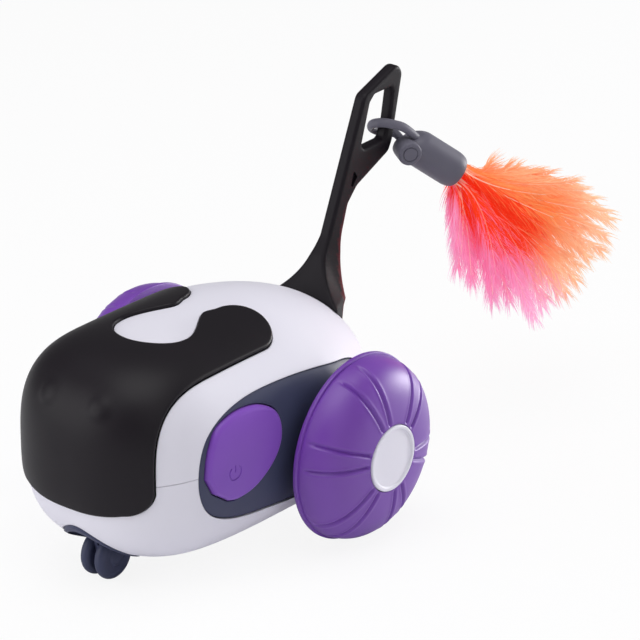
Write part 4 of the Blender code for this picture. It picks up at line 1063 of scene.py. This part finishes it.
def makeTeaser():
    t = teaserShape
    r, e = t["radius"], t["round"]
    quarter = [math.pi / 2 * k / 10 for k in range(11)]
    line = [(0.0, t["start"])]
    line += [(r - e + e * math.sin(a), t["start"] + e * 2 * (1 - math.cos(a))) for a in quarter]
    line += [(r - t["endIn"] * (1 - math.cos(a)), t["end"] - t["endLong"] * (1 - math.sin(a))) for a in quarter]
    line += [(t["bore"], t["end"]), (t["bore"], t["end"] - t["boreDeep"]), (0.0, t["end"] - t["boreDeep"])]
    barrel = turnPiece("greyTeaser", line, barPoint, teaserWay, 96)
    # the start slants back toward the top
    upward = np.cross(teaserWay, teaserSide)
    upward *= np.sign(upward[2])
    offset = points(barrel) / mm - barPoint
    along, high = offset @ teaserWay, offset @ upward
    straight = t["end"] - 8
    slide = t["slant"] * (high + r) * ramp((straight - along) / (straight - t["start"]))
    setPoints(barrel, (offset + slide[:, None] * teaserWay + barPoint) * mm)
    tilt = Matrix.Rotation(math.radians(-t["strapTilt"]), 3, Vector(strapWay))
    beside = np.array(tilt @ Vector(teaserSide))
    front = [(t["half"] - t["front"] - t["half"] * math.sin(a), -t["half"] * math.cos(a))
             for a in np.radians(np.linspace(0, 180, 9))]
    knots = [(6.8, -t["half"] * 0.78)] + front + [(6.8, t["half"] * 0.78)]
    knots = [barPoint + strapWay * along + beside * aside for along, aside in knots]
    # both ends of the band run into the barrel
    knots = [barPoint + teaserWay * 18 + upward * 3 - teaserSide * 2] + knots
    knots += [barPoint + teaserWay * 13 - upward * t["tabDrop"] - teaserSide * 2]
    loop = curveThrough(knots, 6, closed=False)
    strap = tubeAlong("strap", loop, t["strap"])
    # the tube becomes a flat band round the bar
    places, loop = points(strap) / mm, np.array(loop)
    finer = np.concatenate([loop[:-1] + (loop[1:] - loop[:-1]) * share for share in np.linspace(0, 0.9, 10)])
    middle = finer[np.linalg.norm(places[:, None] - finer[None], axis=2).argmin(1)]
    across = np.cross(strapWay, beside)
    tall = ((places - middle) @ across)[:, None] * across
    setPoints(strap, (middle + tall + (places - middle - tall) * t["strapThin"]) * mm)
    place = barPoint + teaserWay * t["tabAlong"] - upward * t["tabDrop"]
    disc, ring, top = t["tab"], t["ring"], r + t["tabThick"] / 2
    tab = turnPiece("tab", [(0.0, 0.0), (disc, 0.0), (disc, top - 1.0), (disc - 0.15, top - 0.45),
                            (disc - 0.5, top - 0.12), (disc - 1.0, top), (ring + 0.3, top), (ring + 0.12, top - 0.4),
                            (ring - 0.12, top - 0.4), (ring - 0.3, top), (0.0, top)], place, -teaserSide, 72)
    for extra in (strap, tab):
        cutWith(barrel, extra, "UNION", crossing=True)
    barrel = keepLargest(barrel)
    tidyNormals(barrel, 0.01)
    smoothBy(barrel, 35)
    return barrel


teaserPiece = makeTeaser()
dress(teaserPiece, "teaser")
print("teaser:", len(teaserPiece.data.polygons), "faces")


# feathers: quills that leave the barrel, with thousands of fine tapering barbs

# inside: the strength of the feathers' painted glow, an emission in their dye colour
featherShape = {"along": (0.4163, 0.5189, -0.7462), "spread": (0.3021, 0.6952, 0.6522),
                "fanWay": (0.53, 0.72, -0.445), "fanStart": 34.5, "depth": 11.0, "barbEvery": 0.29,
                "barbLong": 15.0, "barbWide": 0.3, "barbAngle": 25.0, "barbTaper": (0.9, 1.0, 0.9, 0.7, 0.45, 0.12),
                "barbTurn": 0.75, "barbSag": 1.2, "quillWide": 0.7, "quillLift": 1.4, "quillSteps": 60,
                "pullIn": 6.0, "reach": 84.0, "inside": 0.14, "through": 0.3, "seed": 7}
dyes = {"red": "#FF5226", "orange": "#FFA864", "pink": "#FFA2CE", "paleOrange": "#FFDABC", "palePink": "#FFCEE8",
        "quill": "#FFE9D6"}
dyeColours = {name: np.array(linear(code)[:3]) for name, code in dyes.items()}
# tips of the quills in the fan's own plane: how far along it, how far across
orangeTips = [(30, 17.5), (42, 24), (54, 31), (62, 31.5), (73, 33), (80, 32), (86, 31), (89, 24), (89, 17), (90, 11),
              (90, 5), (92, -1), (94, -8), (89, -12), (88, -17), (66, 24), (74, 14), (80, 2), (70, -2), (58, 12),
              (84, -6), (78, 22), (64, 6), (48, 18), (84, 12), (70, 30), (20, 12.5), (26, 15.5), (36, 20.5), (46, 27)]
pinkTips = [(88.5, -21), (87, -28), (80, -27), (74, -31), (68, -35.5), (62, -35), (56, -36.5), (49, -36),
            (43.5, -38), (38, -33), (33, -31.5), (28, -25), (24.5, -21), (19, -16.5), (76, -22),
            (66, -26), (56, -28), (46, -27), (70, -14), (60, -18), (50, -12), (40, -20), (30, -16), (36, -26)]


def dyeOf(s, w, chance):
    # a red core from the root, orange above it, pink below it, both paler toward the tips
    colours = dyeColours
    angle = np.degrees(np.arctan2(w + 4, s + 3))
    far = np.hypot(w + 4, s + 3)
    stray = chance - 0.5
    upper = smoothRamp((angle + 11 + 8 * stray) / 12)[:, None]
    dye = colours["pink"] * (1 - upper) + colours["orange"] * upper
    coreReach = np.interp(angle, [-30, -20, -12, -4, 6, 14, 22], [26, 40, 50, 62, 62, 44, 20])
    core = smoothRamp((coreReach - far + 22 * stray) / 18 + 0.5) * smoothRamp((17 - angle + 8 * stray) / 10)
    core = core * smoothRamp((angle + 34 + 8 * stray) / 10) * np.where(chance < 0.18, 0.35, 1.0)
    dye = dye * (1 - core[:, None]) + colours["red"] * core[:, None]
    pale = colours["palePink"] * (1 - upper) + colours["paleOrange"] * upper
    tip = smoothRamp((far / featherShape["reach"] - 0.62) / 0.42) * 0.8
    edge = smoothRamp((angle - 17) / 14) * 0.45 + smoothRamp((-24 - angle) / 14) * 0.4
    share = np.clip(tip + edge + 0.3 * (chance > 0.86) * (1 - core), 0, 0.92)[:, None]
    return dye * (1 - share) + pale * share


def alongLine(line, at):
    # points of a line at shares from 0 to 1
    share = np.linspace(0, 1, len(line))
    return np.stack([np.interp(at, share, line[:, k]) for k in range(3)], 1)


def makeFeathers(name, tips, salt):
    f = featherShape
    rng = np.random.default_rng(f["seed"] + salt)
    along, spread = np.array(f["along"]), np.array(f["spread"])
    out = np.cross(along, spread)
    mouth = barPoint + teaserWay * teaserShape["end"]
    fan = barPoint + unit(*f["fanWay"]) * f["fanStart"]
    root = np.array([(mouth - fan) @ along, (mouth - fan) @ spread])
    vertices, faces, tints = [], [], []

    def addRibbons(line, wide, normal, tint):
        # line: ribbons by steps by 3; wide: steps; normal: ribbons by 3; tint: ribbons by steps by 3
        count, steps = line.shape[:2]
        way = np.gradient(line, axis=1)
        across = unitRows(np.cross(way, normal[:, None, :]))
        half = across * (wide / 2)[None, :, None]
        pair = np.stack([line - half, line + half], 2).reshape(count, steps * 2, 3)
        base = sum(len(v) for v in vertices)
        row = np.arange(steps - 1) * 2
        quad = np.stack([row, row + 1, row + 3, row + 2], 1)
        faces.append((quad[None] + (np.arange(count) * steps * 2)[:, None, None] + base).reshape(-1, 4))
        vertices.append(pair.reshape(-1, 3))
        tints.append(np.repeat(tint, 2, axis=1).reshape(-1, 3))

    t = np.linspace(0, 1, f["quillSteps"])[:, None]
    u = np.linspace(0, 1, len(f["barbTaper"]))
    for number, place in enumerate(tips):
        layer = rng.uniform(-1, 1)
        place = np.array(place, float)
        place -= (place - root) / np.linalg.norm(place - root) * f["pullIn"]
        bend = rng.uniform(8, 15) * (0.35 if place[1] < -12 and place[0] < 50 else 1.0)
        aside = 5 * np.clip(place[1] / 30, -1, 1) + rng.uniform(-1, 1)
        start = mouth - teaserWay * 2 + spread * aside + out * rng.uniform(-4, 4)
        turn = mouth + teaserWay * bend + out * layer * 5
        tip = fan + along * place[0] + spread * place[1] + out * layer * f["depth"] * 0.55
        quill = start * (1 - t) ** 2 + turn * 2 * t * (1 - t) + tip * t**2
        quill = quill + out * (np.sin(t * math.pi) * layer * 4)
        length = np.linalg.norm(np.diff(quill, axis=0), axis=1).sum()
        at = np.sort(rng.uniform(0.05, 1.0, int(length / f["barbEvery"]) * 2) ** 0.8)
        way = unitRows(alongLine(quill, ramp(at + 0.02)) - alongLine(quill, ramp(at - 0.02)))
        side = np.where(rng.random(len(at)) < 0.5, -1, 1)[:, None]
        lift = rng.normal(0, 0.45, len(at))[:, None]
        beside = unitRows(np.cross(out, way) * side + out * lift)
        long = f["barbLong"] * (1 - 0.5 * at**5) * rng.uniform(0.6, 1.1, len(at)) * np.clip(at * 2.4, 0.25, 1)
        angle = np.radians(f["barbAngle"] + rng.normal(0, 7, len(at)))[:, None]
        leans = [angle * (1 - f["barbTurn"] * k) for k in u]
        steps = np.stack([way * np.cos(lean) + beside * np.sin(lean) for lean in leans], 1)
        steps = steps * (long / (len(u) - 1))[:, None, None]
        line = np.concatenate([np.zeros_like(steps[:, :1]), np.cumsum(steps[:, :-1], 1)], 1)
        line = alongLine(quill, at)[:, None, :] + line
        line[:, :, 2] -= (u**2 * f["barbSag"])[None, :]
        normal = out + rng.normal(0, 0.25, (len(at), 3))
        flat = (line - fan).reshape(-1, 3)
        chance = np.repeat(rng.random(len(at)), len(u))
        tint = dyeOf(flat @ along, flat @ spread, chance).reshape(line.shape)
        tint = tint * rng.uniform(0.94, 1.1, (len(at), 1, 1))
        addRibbons(line, f["barbWide"] * np.array(f["barbTaper"]), normal, ramp(tint))
        # the quill itself, as two ribbons across each other, every second one paler
        flat = quill - fan
        pale = dyeOf(flat @ along, flat @ spread, np.full(len(t), 0.5))
        paleShare = 0.8 if number % 2 else 0.4
        pale = pale * (1 - paleShare) + dyeColours["quill"] * paleShare
        wide = f["quillWide"] * np.linspace(1.0, 0.3, len(t))
        for tilt in (out, np.cross(out, along)):
            addRibbons(quill[None] + out * f["quillLift"], wide, tilt[None], pale[None])
    piece = bpy.data.meshes.new(name)
    places = np.concatenate(vertices) * mm
    quads = np.concatenate(faces)
    piece.from_pydata(places.tolist(), [], quads.tolist())
    dye = piece.color_attributes.new("dye", "FLOAT_COLOR", "POINT")
    shade = np.concatenate([np.concatenate(tints), np.ones((len(places), 1))], 1)
    dye.data.foreach_set("color", shade.ravel())
    item = addObject(name, piece)
    activate(item)
    bpy.ops.object.shade_smooth()
    return item


def featherMaterial(name):
    # dyed marabou down: matt, letting some light through, with its dye painted on the barbs and a painted glow in the
    # dye's colour
    material, tree, shader, place = newMaterial(name)
    dye = addNode(tree, "ShaderNodeVertexColor", {"layer_name": "dye"})
    drift = addNode(tree, "ShaderNodeTexNoise", {"Scale": 1 / (3 * mm), "Detail": 3}, [(place, "Object", "Vector")])
    value = addNode(tree, "ShaderNodeMapRange", {"To Min": 0.9, "To Max": 1.1}, [(drift, "Fac", "Value")])
    tint = addNode(tree, "ShaderNodeHueSaturation", links=[(dye, "Color", "Color"), (value, "Result", "Value")])
    tree.links.new(tint.outputs["Color"], shader.inputs["Base Color"])
    shader.inputs["Roughness"].default_value = 0.7
    shader.inputs["IOR"].default_value = 1.4
    # painted glow: the barbs emit their dye colour, standing in for the light that down passes from barb to barb many
    # more times than a render follows it
    tree.links.new(tint.outputs["Color"], shader.inputs["Emission Color"])
    shader.inputs["Emission Strength"].default_value = featherShape["inside"]
    through = addNode(tree, "ShaderNodeBsdfTranslucent", links=[(tint, "Color", "Color")])
    layOver(tree, shader, through, "BSDF", {"Fac": featherShape["through"]})
    return material


featherDyeAndPaintedGlow = featherMaterial("dyedFeatherPaintedGlow")
for number, (colour, tips) in enumerate({"orange": orangeTips, "pink": pinkTips}.items()):
    feather = makeFeathers(colour + "Feathers", tips, number)
    dress(feather, "feather_" + colour, featherDyeAndPaintedGlow)
    print(colour, "feathers:", len(feather.data.polygons), "faces")


# CAD nodes that stay take their finishes

for node, item in frame["nodes"].items():
    if node not in replaced:
        for slot in item.material_slots:
            slot.material = materials[materialForSlot[slotOf[node]]]


# light: four soft lamps and a dim white room; the floor shows white with a faint shadow
# each lamp: its place in metres, power in watts, width and, where it isn't square, height

light = {"key": (0.12, -0.2, 1.5, 15.6, 1.4), "fill": (-0.75, -1.15, 0.55, 9.2, 1.1),
         "side": (1.5, -0.5, 0.95, 4.3, 1.5), "rim": (0.42, 1.2, 0.16, 10.5, 0.4, 0.28),
         "aim": (0, -0.02, 0.05), "room": 0.2, "floor": "#F4F4F6", "floorGlow": 0.88}


def areaLamp(name, x, y, z, power, wide, high=None):
    data = bpy.data.lights.new(name, "AREA")
    data.shape = "RECTANGLE"
    data.energy, data.size, data.size_y = power, wide, high or wide
    lamp = addObject(name, data)
    lamp.location = (x, y, z)
    lamp.rotation_euler = (Vector(light["aim"]) - Vector((x, y, z))).to_track_quat("-Z", "Y").to_euler()


for name in ("key", "fill", "side", "rim"):
    areaLamp(name, *light[name])

world = bpy.data.worlds.new("room")
world.use_nodes = True
bpy.context.scene.world = world
tree = world.node_tree
tree.nodes.clear()
rays = addNode(tree, "ShaderNodeLightPath")
seen = addNode(tree, "ShaderNodeMath", {"operation": "MAXIMUM"},
               [(rays, "Is Camera Ray", 0), (rays, "Is Transmission Ray", 1)])
strength = addNode(tree, "ShaderNodeMapRange", {"To Min": light["room"], "To Max": 1.0}, [(seen, 0, "Value")])
room = addNode(tree, "ShaderNodeBackground", {"Color": (1, 1, 1, 1)}, [(strength, "Result", "Strength")])
addNode(tree, "ShaderNodeOutputWorld", links=[(room, "Background", "Surface")])

deselectAll()
bpy.ops.mesh.primitive_plane_add(size=6, location=(0, 0, cadBounds[0][2]))
floor = bpy.context.object
floor.name = "floor"
floorMaterial, tree, shader, place = newMaterial("floorWhite")
shader.inputs["Base Color"].default_value = linear(light["floor"])
shader.inputs["Roughness"].default_value = 0.9
glow = addNode(tree, "ShaderNodeEmission", {"Color": (1, 1, 1, 1), "Strength": 1.0})
rays = addNode(tree, "ShaderNodeLightPath")
share = addNode(tree, "ShaderNodeMapRange", {"To Max": light["floorGlow"]}, [(rays, "Is Camera Ray", "Value")])
layOver(tree, shader, glow, "Emission", links=[(share, "Result", "Fac")])
floor.data.materials.append(floorMaterial)
print("light and floor ready")
